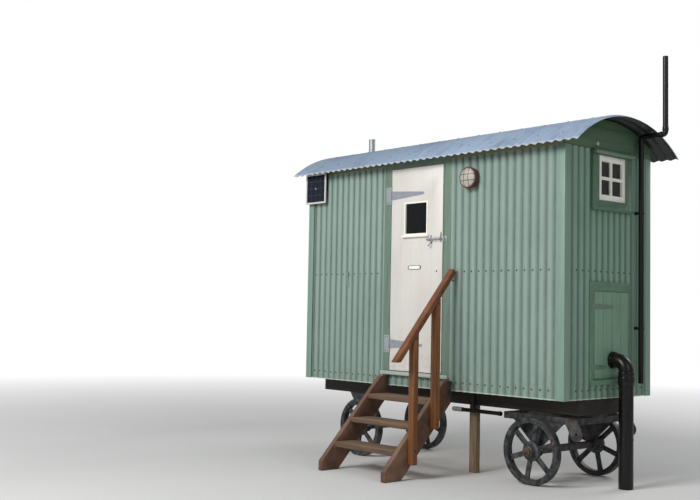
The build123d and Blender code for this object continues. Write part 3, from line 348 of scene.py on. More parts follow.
def galvanised_roof(name):
    """Weathered galvanised sheet, blue grey, streaked down the slope, with painted shade under it and towards its
    left end, and painted highlights along its eaves and right end.
    """
    f = Finish(name, tint(164, 185, 211), 0.5, 0.05)
    slope = (0.45, 0.06, 0.06)
    shade = f.mix(f.lift(f.cloud(60.0, slope, 4.0), 0.3, 0.7), tint(158, 179, 206), tint(172, 191, 215))
    flower = f.cells(70.0, output="Color")
    shade = f.mix(0.07, shade, flower, "OVERLAY")
    bloom = f.cloud(3.5, detail=5.0, rough=0.65)
    shade = f.mix(f.lift(bloom, 0.56, 0.75, 0.0, 0.5), shade, tint(176, 192, 210))
    dull = f.cloud(2.2, detail=4.0, rough=0.6, shift=(5.0, 1.0, 2.0))
    shade = f.mix(f.lift(dull, 0.52, 0.72, 0.0, 0.55), shade, tint(118, 132, 150))
    drift = f.cloud(5.0, (1.0, 0.25, 0.25), 4.0, 0.6, (2.0, 6.0, 1.0))
    shade = f.mix(f.lift(drift, 0.58, 0.78, 0.0, 0.5), shade, tint(96, 102, 98))
    # painted shade: the roof is darker and greyer towards its left end
    painted_shade_left_end = f.lift(f.axis("X"), 0.5, -0.9, 0.0, 0.42)
    shade = f.mix(painted_shade_left_end, shade, tint(120, 136, 154))
    specks = f.lift(f.cells(8.0), 0.045, 0.02)
    some = f.lift(f.cloud(4.0, shift=(1.0, 8.0, 3.0)), 0.5, 0.56)
    shade = f.stain(shade, specks, f.sum("MULTIPLY", some, 0.8), tint(66, 70, 62))
    splat = f.lift(f.cells(2.6, shift=(0.4, 0.2, 0.9)), 0.05, 0.02)
    shade = f.stain(shade, splat, 0.7, tint(226, 230, 232))
    # painted highlight: a pale band along the eave edges
    lip = f.lift(f.axis("Z"), 2.566, 2.558)
    shade = f.stain(shade, lip, 0.6, tint(214, 219, 226))
    # painted shade: the underside is made dark, except its last strip at the right end, which stays pale as a
    # painted highlight along the sheet's end
    under = f.lift(f.facing("Z"), 0.0, -0.3)
    end = f.lift(f.axis("X"), ROOF_END - 0.007, ROOF_END - 0.011)
    shade = f.stain(shade, under, f.sum("MULTIPLY", end, 0.96), tint(42, 39, 34))
    f.colour(shade)
    f.dullness(f.lift(f.cloud(18.0), 0.3, 0.7, 0.36, 0.55))
    f.relief(f.cloud(5.0, detail=2.0), 0.2, 0.004)
    return f.material


def zinc(name, colour, roughness=0.42, metallic=0.55, painted_plate=False):
    """Zinc plated iron with dull blooms. The thin plate below the bolt can be painted like the door."""
    f = Finish(name, colour, roughness, metallic)
    shade = f.mix(f.lift(f.cloud(38.0, detail=4.0), 0.4, 0.7, 0.0, 0.6), colour, tint(168, 171, 182))
    bloom = f.cloud(14.0, detail=5.0, shift=(3, 1, 2))
    shade = f.mix(f.lift(bloom, 0.6, 0.8, 0.0, 0.6), shade, tint(120, 116, 108))
    if painted_plate:
        low, high = BOLT_LEVEL - 0.025, BOLT_LEVEL + 0.026
        band = f.sum("MULTIPLY", f.lift(f.axis("Z"), low - 0.001, low), f.lift(f.axis("Z"), high + 0.001, high))
        plate = f.sum("MULTIPLY", band, f.lift(f.axis("Y"), DOOR_FACE - 0.0052, DOOR_FACE - 0.0044))
        shade = f.mix(plate, shade, tint(214, 208, 200))
        f.metal(f.lift(plate, 0.0, 1.0, metallic, 0.0))
    f.colour(shade)
    f.dullness(f.lift(f.cloud(50.0), 0.3, 0.7, roughness - 0.08, roughness + 0.12))
    f.relief(f.cloud(90.0), 0.12, 0.0006)
    return f.material


def old_iron(name, colour, rust):
    """Dark weathered iron with rust and dust. Gives the finish, for further paint."""
    metallic = 0.35
    f = Finish(name, colour, 0.6, metallic)
    shade = f.mix(f.lift(f.cloud(22.0, detail=5.0), 0.35, 0.7), colour, tint(88, 90, 92))
    patches = f.cloud(9.0, detail=6.0, rough=0.68, shift=(7.0, 3.0, 1.0))
    rusty = f.lift(patches, 0.66 - 0.2 * rust, 0.84 - 0.2 * rust, 0.0, 0.9)
    shade = f.mix(rusty, shade, f.mix(f.cloud(60.0), tint(96, 56, 38), tint(128, 84, 60)))
    dust = f.sum("MULTIPLY", f.lift(f.facing("Z"), 0.5, 0.95), f.lift(f.cloud(12.0), 0.35, 0.7, 0.1, 0.6))
    shade = f.mix(dust, shade, tint(126, 118, 104))
    f.colour(shade)
    f.metal(f.lift(rusty, 0.0, 0.9, metallic, 0.0))
    f.dullness(f.lift(rusty, 0.0, 0.9, 0.5, 0.85))
    f.relief(f.cloud(70.0, detail=5.0), 0.35, 0.0012)
    return f


def wheel_iron(name):
    """Old cast iron of the wheels: rusty hubs, and a dab of red paint on one rim."""
    f = old_iron(name, tint(26, 28, 30), 0.3)
    shade = f.shader.inputs["Base Color"].links[0].from_socket
    hubs = []
    for x in (REAR_AXLE, FRONT_AXLE):
        away_x = f.sum("POWER", f.sum("SUBTRACT", f.axis("X"), x), 2.0)
        away_z = f.sum("POWER", f.sum("SUBTRACT", f.axis("Z"), AXLE_HEIGHT), 2.0)
        reach = f.sum("SQRT", f.sum("ADD", away_x, away_z))
        hubs.append(f.lift(reach, 0.052, 0.032))
    hub = f.sum("MULTIPLY", f.sum("MAXIMUM", hubs[0], hubs[1]), f.lift(f.cloud(20.0), 0.3, 0.6, 0.4, 0.9))
    shade = f.mix(hub, shade, tint(72, 61, 54))
    dab = f.sum("MULTIPLY", f.near(1.197, -0.152, 0.335, 0.02), 0.7)
    shade = f.mix(dab, shade, tint(150, 98, 94))
    f.colour(shade)
    return f.material


def weathered(name, colour, darker, paler, grain, grey_tops=0.6, gloss=0.72):
    """Outdoor timber with its grain along the piece, greyed and worn where it faces up."""
    f = Finish(name, colour, gloss)
    fibres = f.cloud(75.0, grain, 5.0, 0.62)
    shade = f.mix(f.lift(fibres, 0.34, 0.68), darker, colour)
    bands = f.cloud(16.0, grain, 3.0, 0.5, (1.0, 4.0, 2.0))
    shade = f.mix(f.lift(bands, 0.5, 0.72, 0.0, 0.6), shade, paler)
    stains = f.cloud(5.0, detail=4.0, shift=(2.0, 2.0, 6.0))
    shade = f.mix(f.lift(stains, 0.55, 0.75, 0.0, 0.55), shade, darker)
    worn = f.lift(f.cloud(18.0, grain), 0.3, 0.65, 0.4, 1.0)
    tops = f.sum("MULTIPLY", f.lift(f.facing("Z"), 0.3, 0.9), worn)
    shade = f.stain(shade, tops, grey_tops, tint(140, 118, 98))
    knots = f.lift(f.cells(5.0, tuple(0.35 + 0.65 * g for g in grain)), 0.07, 0.03)
    shade = f.stain(shade, knots, 0.7, tint(52, 34, 24))
    f.colour(shade)
    f.dullness(f.lift(fibres, 0.3, 0.7, gloss - 0.1, gloss + 0.12))
    f.relief(fibres, 0.55, 0.0018)
    return f.material


def indoor_boards(name, colour, letter, gap):
    """Clear finished softwood boards with V joints, a gap apart along X or Y."""
    f = Finish(name, colour, 0.55)
    fibres = f.cloud(50.0, (1, 1, 0.06), 4.0, 0.6)
    shade = f.mix(f.lift(fibres, 0.35, 0.7), tint(176, 138, 96), colour)
    line = f.lines(letter, gap, 0.004)
    shade = f.stain(shade, line, 0.6, tint(96, 70, 44))
    f.colour(shade)
    f.relief(f.sum("SUBTRACT", f.sum("MULTIPLY", fibres, 0.1), line), 0.4, 0.002)
    return f.material


def black_plastic(name, roughness):
    """Black drain pipe with a fine mould texture and dust."""
    f = Finish(name, tint(14, 13, 14), roughness)
    f.shader.inputs["Specular IOR Level"].default_value = 0.36
    dust = f.cloud(14.0, (1, 1, 0.4), 5.0, 0.6)
    f.colour(f.mix(f.lift(dust, 0.5, 0.8, 0.0, 0.2), tint(12, 11, 12), tint(56, 48, 42)))
    f.dullness(f.lift(dust, 0.4, 0.8, roughness, roughness + 0.18))
    f.relief(f.cloud(120.0), 0.06, 0.0004)
    return f.material


def grey_plastic(name):
    """Grey plastic of a pipe socket."""
    f = Finish(name, tint(150, 150, 146), 0.45)
    f.colour(f.mix(f.lift(f.cloud(20.0, detail=4.0), 0.4, 0.7), tint(158, 158, 154), tint(112, 108, 100)))
    f.relief(f.cloud(80.0), 0.08, 0.0005)
    return f.material


def clear_glass(name, colour, dirt=0.2):
    """Window glass with a little dust on it."""
    f = Finish(name, colour, 0.03)
    f.shader.inputs["Transmission Weight"].default_value = 1.0
    f.shader.inputs["IOR"].default_value = 1.45
    film = f.cloud(9.0, detail=4.0)
    f.colour(f.mix(f.lift(film, 0.45, 0.8, 0.0, dirt), colour, tint(120, 122, 120)))
    f.dullness(f.lift(film, 0.4, 0.8, 0.02, 0.12))
    return f.material


def lamp_shade(name):
    """White prismatic lamp glass with fine upright ribs."""
    f = Finish(name, tint(184, 178, 170), 0.3)
    half_gap = 0.0028
    rib = f.lift(f.sum("PINGPONG", f.axis("X"), half_gap), 0.0, half_gap)
    f.colour(f.mix(rib, tint(170, 164, 156), tint(194, 188, 180)))
    f.relief(rib, 0.5, 0.001)
    return f.material


def copper(name):
    """Brown weathered copper with brighter rubbed places."""
    f = Finish(name, tint(104, 66, 56), 0.45, 0.35)
    shade = f.mix(f.lift(f.cloud(35.0, detail=5.0), 0.4, 0.7), tint(88, 54, 46), tint(124, 82, 70))
    shade = f.mix(f.lift(f.cloud(18.0, shift=(2, 2, 2)), 0.6, 0.8, 0.0, 0.5), shade, tint(84, 64, 54))
    f.colour(shade)
    f.dullness(f.lift(f.cloud(60.0), 0.3, 0.7, 0.34, 0.52))
    f.relief(f.cloud(90.0), 0.15, 0.0006)
    return f.material


def solar_cells(name, left, bottom, cell):
    """Blue black cells with fine silver lines under glass."""
    f = Finish(name, tint(22, 26, 38), 0.2)
    f.shader.inputs["Specular IOR Level"].default_value = 0.3
    tone = f.mix(f.lift(f.cells(60.0), 0.1, 0.6), tint(18, 21, 32), tint(27, 32, 48))
    silver = tint(110, 118, 134)
    gaps = f.sum("MAXIMUM", f.lines("X", cell, 0.0020, left), f.lines("Z", cell, 0.0020, bottom))
    fine = f.lines("X", cell / 3, 0.0009, left)
    f.colour(f.stain(f.stain(tone, fine, 0.16, silver), gaps, 0.3, silver))
    return f.material


def pale_floor(name):
    """Plain pale floor that fades into the white background far away."""
    f = Finish(name, tint(226, 226, 224), 0.85)
    f.colour(f.mix(f.lift(f.cloud(0.7, detail=2.0), 0.3, 0.7), tint(228, 228, 226), tint(224, 224, 222)))
    tree = f.tree
    away = tree.nodes.new("ShaderNodeVectorMath")
    away.operation = "LENGTH"
    f.join(f.places, away.inputs[0])
    far = f.lift(away.outputs["Value"], 3.5, 12.0)
    rays = tree.nodes.new("ShaderNodeLightPath")
    seen = f.sum("MAXIMUM", rays.outputs["Is Camera Ray"], rays.outputs["Is Transmission Ray"])
    white = tree.nodes.new("ShaderNodeEmission")
    choose_white = tree.nodes.new("ShaderNodeMixShader")
    f.join(f.sum("MULTIPLY", far, seen), choose_white.inputs[0])
    f.join(f.shader.outputs[0], choose_white.inputs[1])
    f.join(white.outputs[0], choose_white.inputs[2])
    f.join(choose_white.outputs[0], tree.nodes["Material Output"].inputs["Surface"])
    return f.material


# workshop: small steps with the modelling tools

def lay_down():
    """Nothing is selected."""
    bpy.ops.object.select_all(action="DESELECT")


def choose(*things):
    """Only these objects are selected, and the first is the active one."""
    lay_down()
    for thing in things:
        thing.select_set(True)
    bpy.context.view_layer.objects.active = things[0]


def settle(name):
    """The active object keeps its place in its mesh and gets its name."""
    obj = bpy.context.object
    choose(obj)
    bpy.ops.object.transform_apply(location=True, rotation=True, scale=True)
    obj.name = name
    obj.data.name = name
    return obj


def start_edit(obj):
    """Edit mode, with the whole mesh selected."""
    choose(obj)
    bpy.ops.object.mode_set(mode="EDIT")
    bpy.ops.mesh.select_mode(type="VERT")
    bpy.ops.mesh.select_all(action="SELECT")


def end_edit():
    """Back to object mode."""
    bpy.ops.object.mode_set(mode="OBJECT")


def pick(kind, test):
    """In edit mode, selects only the corners, edges or faces whose middle passes the test."""
    bpy.ops.mesh.select_mode(type=kind)
    bpy.ops.mesh.select_all(action="DESELECT")
    mesh = bpy.context.object.data
    work = bmesh.from_edit_mesh(mesh)
    if kind == "VERT":
        for corner in work.verts:
            corner.select_set(test(corner.co))
    elif kind == "EDGE":
        for edge in work.edges:
            edge.select_set(test((edge.verts[0].co + edge.verts[1].co) / 2))
    else:
        for face in work.faces:
            face.select_set(test(face.calc_center_median()))
    work.select_flush_mode()
    bmesh.update_edit_mesh(mesh)


def pick_facing(direction):
    """In edit mode, selects the faces that look along a direction."""
    bpy.ops.mesh.select_mode(type="FACE")
    bpy.ops.mesh.select_all(action="DESELECT")
    mesh = bpy.context.object.data
    work = bmesh.from_edit_mesh(mesh)
    along = Vector(direction).normalized()
    for face in work.faces:
        face.select_set(face.normal.dot(along) > ALIGNED)
    work.select_flush_mode()
    bmesh.update_edit_mesh(mesh)


def inset(*steps):
    """In edit mode, insets the selected faces once for each thickness and depth."""
    for thickness, depth in steps:
        bpy.ops.mesh.inset(thickness=thickness, depth=depth)


def extrude(step):
    """In edit mode, extrudes what is selected by a step."""
    bpy.ops.mesh.extrude_region_move(TRANSFORM_OT_translate={"value": step})


def cut_off(spot, way):
    """In edit mode, cuts the mesh across at a place, drops what lies along the way and closes the cut."""
    bpy.ops.mesh.select_all(action="SELECT")
    bpy.ops.mesh.bisect(plane_co=spot, plane_no=way, clear_outer=True, use_fill=True)


def tidy_mesh():
    """In edit mode, joins corners that meet and turns every face outwards."""
    bpy.ops.mesh.select_all(action="SELECT")
    bpy.ops.mesh.remove_doubles(threshold=MERGE_WITHIN)
    bpy.ops.mesh.normals_make_consistent(inside=False)


def use(obj, kind, **settings):
    """Adds a modifier, sets it and applies it."""
    choose(obj)
    modifier = obj.modifiers.new(kind.lower(), kind)
    for key, value in settings.items():
        setattr(modifier, key, value)
    bpy.ops.object.modifier_apply(modifier=modifier.name)
    return obj


def soften(obj, width, segments=2, angle=30.0):
    """Rounds the sharp edges and smooths the shading between them."""
    use(obj, "BEVEL", width=width, segments=segments, limit_method="ANGLE", angle_limit=math.radians(angle))
    return smooth(obj)


def smooth(obj, angle=SMOOTH_BELOW):
    """Smooths the shading over edges that bend less than an angle."""
    choose(obj)
    bpy.ops.object.shade_smooth_by_angle(angle=math.radians(angle))
    return obj


def repeated(obj, count, step):
    """A row of the piece, at equal steps."""
    return use(obj, "ARRAY", count=count, use_relative_offset=False, use_constant_offset=True,
               constant_offset_displace=step)


def wall(obj, thickness):
    """Gives an open sheet its thickness, inwards from the side it faces."""
    return use(obj, "SOLIDIFY", thickness=thickness, offset=-1.0, use_even_offset=True)


def place(obj, move=(0, 0, 0), turn=0.0, axis="Z"):
    """Turns a piece about the origin, then moves it, with the change kept in its mesh."""
    obj.rotation_euler = Vector([turn if letter == axis else 0.0 for letter in "XYZ"])
    obj.location = move
    choose(obj)
    bpy.ops.object.transform_apply(location=True, rotation=True, scale=True)
    return obj


def copy_of(obj, name, move=(0, 0, 0), turn=0.0, axis="Z"):
    """A second piece with a mesh of its own, turned about the origin and moved."""
    choose(obj)
    bpy.ops.object.duplicate(linked=False)
    twin = bpy.context.object
    twin.name = name
    twin.data.name = name
    return place(twin, move, turn, axis)


def remove(obj):
    """A pattern that has been copied goes."""
    choose(obj)
    bpy.ops.object.delete()


def copies(pattern, places):
    """A copy of a pattern at each place, which is a move, a turn and its axis, instead of the pattern."""
    made = [copy_of(pattern, pattern.name + "_copy", *where) for where in places]
    remove(pattern)
    return made


def joined(name, *things):
    """Several pieces made one."""
    choose(*things)
    if len(things) > 1:
        bpy.ops.object.join()
    obj = bpy.context.object
    obj.name = name
    obj.data.name = name
    return obj


def block(name, low, high):
    """A cube brought to its two opposite corners."""
    low, high = Vector(low), Vector(high)
    lay_down()
    bpy.ops.mesh.primitive_cube_add(size=1.0, location=(low + high) / 2)
    bpy.context.object.scale = high - low
    return settle(name)


def drum(name, radius, start, end, sides=32):
    """A round bar from one place to another."""
    start, end = Vector(start), Vector(end)
    lay_down()
    turn = (end - start).to_track_quat("Z", "Y").to_euler()
    bpy.ops.mesh.primitive_cylinder_add(vertices=sides, radius=radius, depth=(end - start).length,
                                        location=(start + end) / 2, rotation=turn)
    return settle(name)


def fit(obj, finish, body="hut", stands_for=()):
    """The piece gets its finish and rides on its body."""
    obj.data.materials.clear()
    obj.data.materials.append(finish)
    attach(obj, body)
    if stands_for:
        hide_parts(*stands_for)
    return obj


def dressed(node, finish, width, segments=2):
    """A copy of a frame node, merged, with its edges rounded, that takes the node's place."""
    source = frame["nodes"][node]
    choose(source)
    bpy.ops.object.duplicate(linked=False)
    obj = bpy.context.object
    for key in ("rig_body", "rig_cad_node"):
        if key in obj:
            del obj[key]
    bpy.ops.object.parent_clear(type="CLEAR_KEEP_TRANSFORM")
    obj.name = node + "_finished"
    obj.data.name = obj.name
    start_edit(obj)
    bpy.ops.mesh.remove_doubles(threshold=MERGE_WITHIN)
    bpy.ops.mesh.dissolve_limited(angle_limit=math.radians(0.6))
    end_edit()
    soften(obj, width, segments)
    return fit(obj, finish, source["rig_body"], (node,))


def inset_facing(obj, direction, *steps):
    """Insets the faces that look along a direction, once for each thickness and depth."""
    start_edit(obj)
    pick_facing(direction)
    inset(*steps)
    end_edit()


def round_corners(plate, middle, radius, segments):
    """Rounds the corners of an upright plate: the edges whose middle lies halfway through it, at a Y."""
    start_edit(plate)
    pick("EDGE", lambda p: abs(p.y - middle) < NEAR_MIDDLE)
    bpy.ops.mesh.bevel(offset=radius, segments=segments, affect="EDGES")
    end_edit()


def moved(obj, step, test=None):
    """Moves a piece, or only the corners that pass the test, in its mesh."""
    start_edit(obj)
    if test:
        pick("VERT", test)
    bpy.ops.transform.translate(value=step)
    end_edit()
    return obj


def repaint(node, finish):
    """A frame node that stays as it is gets its finish."""
    obj = frame["nodes"][node]
    if not obj.data.materials:
        obj.data.materials.append(finish)
    for material_slot in obj.material_slots:
        material_slot.material = finish
    smooth(obj, 30.0)


# corrugated sheets

def waves(first_crest, rise):
    """In edit mode, sets every other row of corners out by a rise, and the rows between them in by two.

    Smoothing then brings each row a third of the way to its neighbours. This leaves the crests where the flat
    sheet was, and the valleys one rise below it.
    """
    for odd, step in ((0, rise), (1, -2 * rise)):
        pick("VERT", lambda p: round((p.x - first_crest) / (PITCH / 2)) % 2 == odd)
        bpy.ops.transform.translate(value=step)


def smooth_waves(obj, low, high):
    """Rounds the waves of a sheet and cuts it off at two places along X. Leaves it in edit mode."""
    use(obj, "SUBSURF", levels=2, render_levels=2, use_limit_surface=True, boundary_smooth="PRESERVE_CORNERS")
    start_edit(obj)
    bpy.ops.mesh.bisect(plane_co=(low, 0, 0), plane_no=(1, 0, 0), clear_inner=True)
    bpy.ops.mesh.select_all(action="SELECT")
    bpy.ops.mesh.bisect(plane_co=(high, 0, 0), plane_no=(1, 0, 0), clear_outer=True)


def corrugated_sheet(name, length, height, first_crest, holes=()):
    """A sheet standing from the origin along X, its crests at y = 0 and its valleys inwards."""
    half = PITCH / 2
    before = math.ceil((first_crest + PITCH) / half)
    start = first_crest - before * half
    count = math.ceil((length + PITCH - start) / half)
    lay_down()
    bpy.ops.mesh.primitive_grid_add(x_subdivisions=count, y_subdivisions=1, size=1.0,
                                    location=(start + count * half / 2, 0, height / 2),
                                    rotation=(math.pi / 2, 0, 0))
    bpy.context.object.scale = (count * half, height, 1.0)
    obj = settle(name)
    start_edit(obj)
    waves(first_crest, Vector((0, -DEPTH, 0)))
    end_edit()
    smooth_waves(obj, 0.0, length)
    for x0, x1, z0, z1 in holes:
        for spot, way in (((x0, 0, 0), (1, 0, 0)), ((x1, 0, 0), (1, 0, 0)),
                          ((0, 0, z0), (0, 0, 1)), ((0, 0, z1), (0, 0, 1))):
            bpy.ops.mesh.select_all(action="SELECT")
            bpy.ops.mesh.bisect(plane_co=spot, plane_no=way)
        pick("FACE", lambda p: x0 < p.x < x1 and z0 < p.z < z1)
        bpy.ops.mesh.delete(type="FACE")
    end_edit()
    wall(obj, SHEET)
    return smooth(obj, 50.0)


def cladding(paints):
    """The six sheets of the walls, the right one with its window and its hatch cut out."""
    left = corrugated_sheet("front_sheet_left", 1.0425, SHEET_HEIGHT, 0.043)
    place(left, (LEFT, FRONT, BASE))
    right = corrugated_sheet("front_sheet_right", 1.1285, SHEET_HEIGHT, 0.075)
    place(right, (0.2535, FRONT, BASE))
    below = corrugated_sheet("front_sheet_below_door", 0.780, 0.092, PITCH / 2)
    place(below, (-0.527, FRONT, BASE))
    for obj in (left, right, below):
        fit(obj, paints["front"])
    back = corrugated_sheet("back_sheet", 2.949, SHEET_HEIGHT, 0.045)
    place(back, (RIGHT, BACK, BASE), math.pi)
    fit(back, paints["back"])
    end_start, end_width, end_crest = -0.240, 1.078, 0.048
    window = (0.0800 - end_start, 0.5820 - end_start, 2.0855 - BASE, SHEET_HEIGHT + 0.01)
    hatch = (0.0500 - end_start, 0.5750 - end_start, 0.7735 - BASE, 1.5425 - BASE)
    end = corrugated_sheet("right_end_sheet", end_width, SHEET_HEIGHT, end_crest, (window, hatch))
    place(end, (RIGHT, end_start, BASE), math.pi / 2)
    fit(end, paints["right"], stands_for=("end_cladding", "side_cladding"))
    far = corrugated_sheet("left_end_sheet", end_width, SHEET_HEIGHT, end_crest)
    place(far, (LEFT, end_start + end_width, BASE), -math.pi / 2)
    fit(far, paints["left"])


def roof(finish):
    """The curved sheet: one corrugated row spun from the front eave to the back eave."""
    half = PITCH / 2
    strip = 0.1
    start = ROOF_CREST - 3 * half
    count = math.ceil((ROOF_END + PITCH - start) / half)
    lay_down()
    bpy.ops.mesh.primitive_grid_add(x_subdivisions=count, y_subdivisions=1, size=1.0,
                                    location=(start + count * half / 2, 0, 0))
    bpy.context.object.scale = (count * half, strip, 1.0)
    obj = settle("roof_finished")
    start_edit(obj)
    pick("VERT", lambda p: p.y > 0)
    bpy.ops.mesh.delete(type="VERT")
    bpy.ops.mesh.select_all(action="SELECT")
    bpy.ops.transform.translate(value=(0, strip / 2, ROOF_RADIUS))
    waves(ROOF_CREST, Vector((0, 0, DEPTH)))
    end_edit()
    place(obj, (0, 0, 0), ROOF_HALF, "X")
    place(obj, ROOF_MIDDLE)
    start_edit(obj)
    bpy.ops.mesh.spin(steps=28, angle=2 * ROOF_HALF, center=ROOF_MIDDLE, axis=(1, 0, 0))
    tidy_mesh()
    end_edit()
    smooth_waves(obj, ROOF_START, ROOF_END)
    end_edit()
    crown = max(obj.data.polygons, key=lambda face: face.center.z)
    if crown.normal.z < 0:
        start_edit(obj)
        bpy.ops.mesh.flip_normals()
        end_edit()
    wall(obj, SHEET)
    smooth(obj, 50.0)
    fit(obj, finish, stands_for=("roof_sheet",))


def screw_head(name, radius, height):
    """A domed screw on its washer, looking along -Y, its seat at the origin."""
    lay_down()
    bpy.ops.mesh.primitive_cylinder_add(vertices=10, radius=radius, depth=height * 0.4,
                                        location=(0, -height * 0.2, 0), rotation=(math.pi / 2, 0, 0))
    obj = settle(name)
    inset_facing(obj, (0, -1, 0), (radius * 0.28, height * 0.1), (radius * 0.22, height * 0.5))
    return smooth(obj, 30.0)


def heads_at(name, spots, radius, height, turn=0.0):
    """Screws at several places, all turned alike."""
    return copies(screw_head(name, radius, height), [(spot, turn) for spot in spots])


def sheet_screws(finish):
    """Rows of screws on the crests of every sheet."""
    head = screw_head("sheet_screw", 0.0068, 0.0042)
    rows = []

    def row(count, start, step, turn):
        """One row: a screw is turned to its wall, set at the first crest and repeated."""
        rows.append(repeated(copy_of(head, "screw_row", start, turn), count, step))

    for level in SCREW_ROWS:
        row(12, (-1.4478, FRONT, level), (PITCH, 0, 0), 0.0)
        row(13, (0.3285, FRONT, level), (PITCH, 0, 0), 0.0)
        row(36, (1.2608, BACK, level), (-PITCH, 0, 0), math.pi)
        row(10, (RIGHT, -0.1158, level), (0, PITCH, 0), math.pi / 2)
        row(1, (RIGHT, 0.7224, level), (0, PITCH, 0), math.pi / 2)
        row(12, (LEFT, 0.7138, level), (0, -PITCH, 0), -math.pi / 2)
    row(10, (-0.4889, FRONT, SCREW_ROWS[0]), (PITCH, 0, 0), 0.0)
    remove(head)
    fit(joined("sheet_screws", *rows), finish)


def roof_screws(finish):
    """Screws with washers on every third crest of the roof, in four rows."""
    head = moved(screw_head("roof_screw", 0.0075, 0.0035), (0, -ROOF_RADIUS + 0.0008, 0))
    first_crest = ROOF_MIDDLE + Vector((ROOF_CREST + PITCH, 0, 0))
    turns = [-math.pi / 2 - math.radians(angle) for angle in (-34.0, -12.0, 12.0, 34.0)]
    rows = [repeated(first, 14, (3 * PITCH, 0, 0))
            for first in copies(head, [(first_crest, turn, "X") for turn in turns])]
    fit(joined("roof_screws", *rows), finish)


# fittings

def lamp(body_finish, glass_finish):
    """Bulkhead lamp: a stepped round body, a domed ribbed glass and a wire guard."""
    x, z = 0.475, 2.364
    radius, lip = 0.080, 0.086
    bowl_y = FRONT - 0.0500
    body = drum("lamp_housing", radius, (x, FRONT, z), (x, FRONT - 0.035, z), 48)
    start_edit(body)
    pick_facing((0, -1, 0))
    extrude((0, -0.001, 0))
    bpy.ops.transform.resize(value=(lip / radius, 1, lip / radius))
    extrude((0, -0.015, 0))
    inset((0.004, 0.003), (0.011, 0.0), (0.002, -0.012))
    end_edit()
    soften(body, 0.0012, 2, 25.0)
    lay_down()
    bpy.ops.mesh.primitive_uv_sphere_add(segments=48, ring_count=24, radius=0.077,
                                         location=(x, bowl_y, z), rotation=(math.pi / 2, 0, 0))
    glass = settle("lamp_glass_finished")
    start_edit(glass)
    bpy.ops.transform.resize(value=(1, 0.345, 1), center_override=(x, bowl_y, z))
    cut_off((x, FRONT - 0.0440, z), (0, 1, 0))
    end_edit()
    smooth(glass)
    lay_down()
    bpy.ops.mesh.primitive_torus_add(major_radius=0.0742, minor_radius=0.0025, major_segments=64,
                                     minor_segments=8, location=(0, 0, 0))
    wire = settle("lamp_wire")
    start_edit(wire)
    bpy.ops.transform.resize(value=(1, 0.352, 1), center_override=(0, 0, 0))
    cut_off((0, -0.0020, 0), (0, 1, 0))
    end_edit()
    smooth(wire)
    places = []
    for shift in (-0.024, 0.024):
        places.append(((x + shift, bowl_y, z), math.pi / 2, "Y"))
        places.append(((x, bowl_y, z + shift), 0.0, "Y"))
    wires = copies(wire, places)
    lay_down()
    bpy.ops.mesh.primitive_torus_add(major_radius=radius, minor_radius=0.0032, major_segments=64,
                                     minor_segments=10, location=(x, FRONT - 0.0535, z),
                                     rotation=(math.pi / 2, 0, 0))
    ring = settle("lamp_ring")
    spots = [Vector((x + radius * math.cos(a), FRONT - 0.0560, z + radius * math.sin(a)))
             for a in (math.radians(angle) for angle in (45.0, 135.0, 225.0, 315.0))]
    ears = heads_at("lamp_screw", spots, 0.0040, 0.003)
    guard = joined("lamp_body_finished", body, ring, *wires, *ears)
    fit(guard, body_finish, stands_for=("lamp_body",))
    fit(glass, glass_finish, stands_for=("lamp_glass",))


def solar_panel(frame_finish, cell_finish, batten_finish):
    """Small panel: a white frame with round corners, the cells set back in it, two battens behind."""
    low, high = Vector((-1.576, -0.302, 2.281)), Vector((-1.289, -0.291, 2.562))
    edge = 0.015
    stud_x, stud_z = -1.432, 2.4215
    rim = block("solar_frame", low, high)
    inset_facing(rim, (0, -1, 0), (edge, 0.0), (0.0005, -0.003))
    round_corners(rim, (low.y + high.y) / 2, 0.013, 5)
    soften(rim, 0.0012)
    cells = block("solar_cells", low + Vector((edge, 0.0025, edge)), high - Vector((edge, 0.003, edge)))
    soften(cells, 0.0006, 1)
    stud = drum("solar_stud", 0.006, (stud_x, -0.2995, stud_z), (stud_x, -0.3015, stud_z), 20)
    rim = joined("solar_frame", rim, stud)
    batten = soften(block("solar_batten", (-1.570, high.y, 2.319), (-1.326, DOOR_FACE, 2.341)), 0.002)
    battens = (batten, copy_of(batten, "solar_batten_high", (0, 0, 0.183)))
    fit(rim, frame_finish, stands_for=("solar_panel",))
    fit(cells, cell_finish)
    fit(joined("solar_battens", *battens), batten_finish)


def name_plate(finish, face_finish, screw_finish):
    """Blank plate with rounded ends on the door, held by two screws, and the keyhole's plate."""
    plate = block("door_plate", (-0.231, DOOR_FACE - 0.003, 1.645), (-0.078, DOOR_FACE, 1.682))
    round_corners(plate, DOOR_FACE - 0.0015, 0.0175, 8)
    inset_facing(plate, (0, -1, 0), (0.004, 0.0), (0.001, -0.0008))
    soften(plate, 0.0005, 1)
    fit(plate, finish, "door")
    face = block("door_plate_face", (-0.2190, DOOR_FACE - 0.0036, 1.6505),
                 (-0.0900, DOOR_FACE - 0.0020, 1.6765))
    round_corners(face, DOOR_FACE - 0.0028, 0.0100, 6)
    fit(face, face_finish, "door")
    heads = heads_at("plate_screw", [(x, DOOR_FACE - 0.003, 1.6635) for x in (-0.2245, -0.0845)], 0.0042, 0.003)
    key_x, key_z = 0.103, 1.629
    keyhole = drum("door_escutcheon", 0.0065, (key_x, DOOR_FACE, key_z), (key_x, DOOR_FACE - 0.003, key_z), 20)
    inset_facing(keyhole, (0, -1, 0), (0.0025, 0.0), (0.0005, -0.002))
    fit(joined("plate_screws", *heads, keyhole), screw_finish, "door")


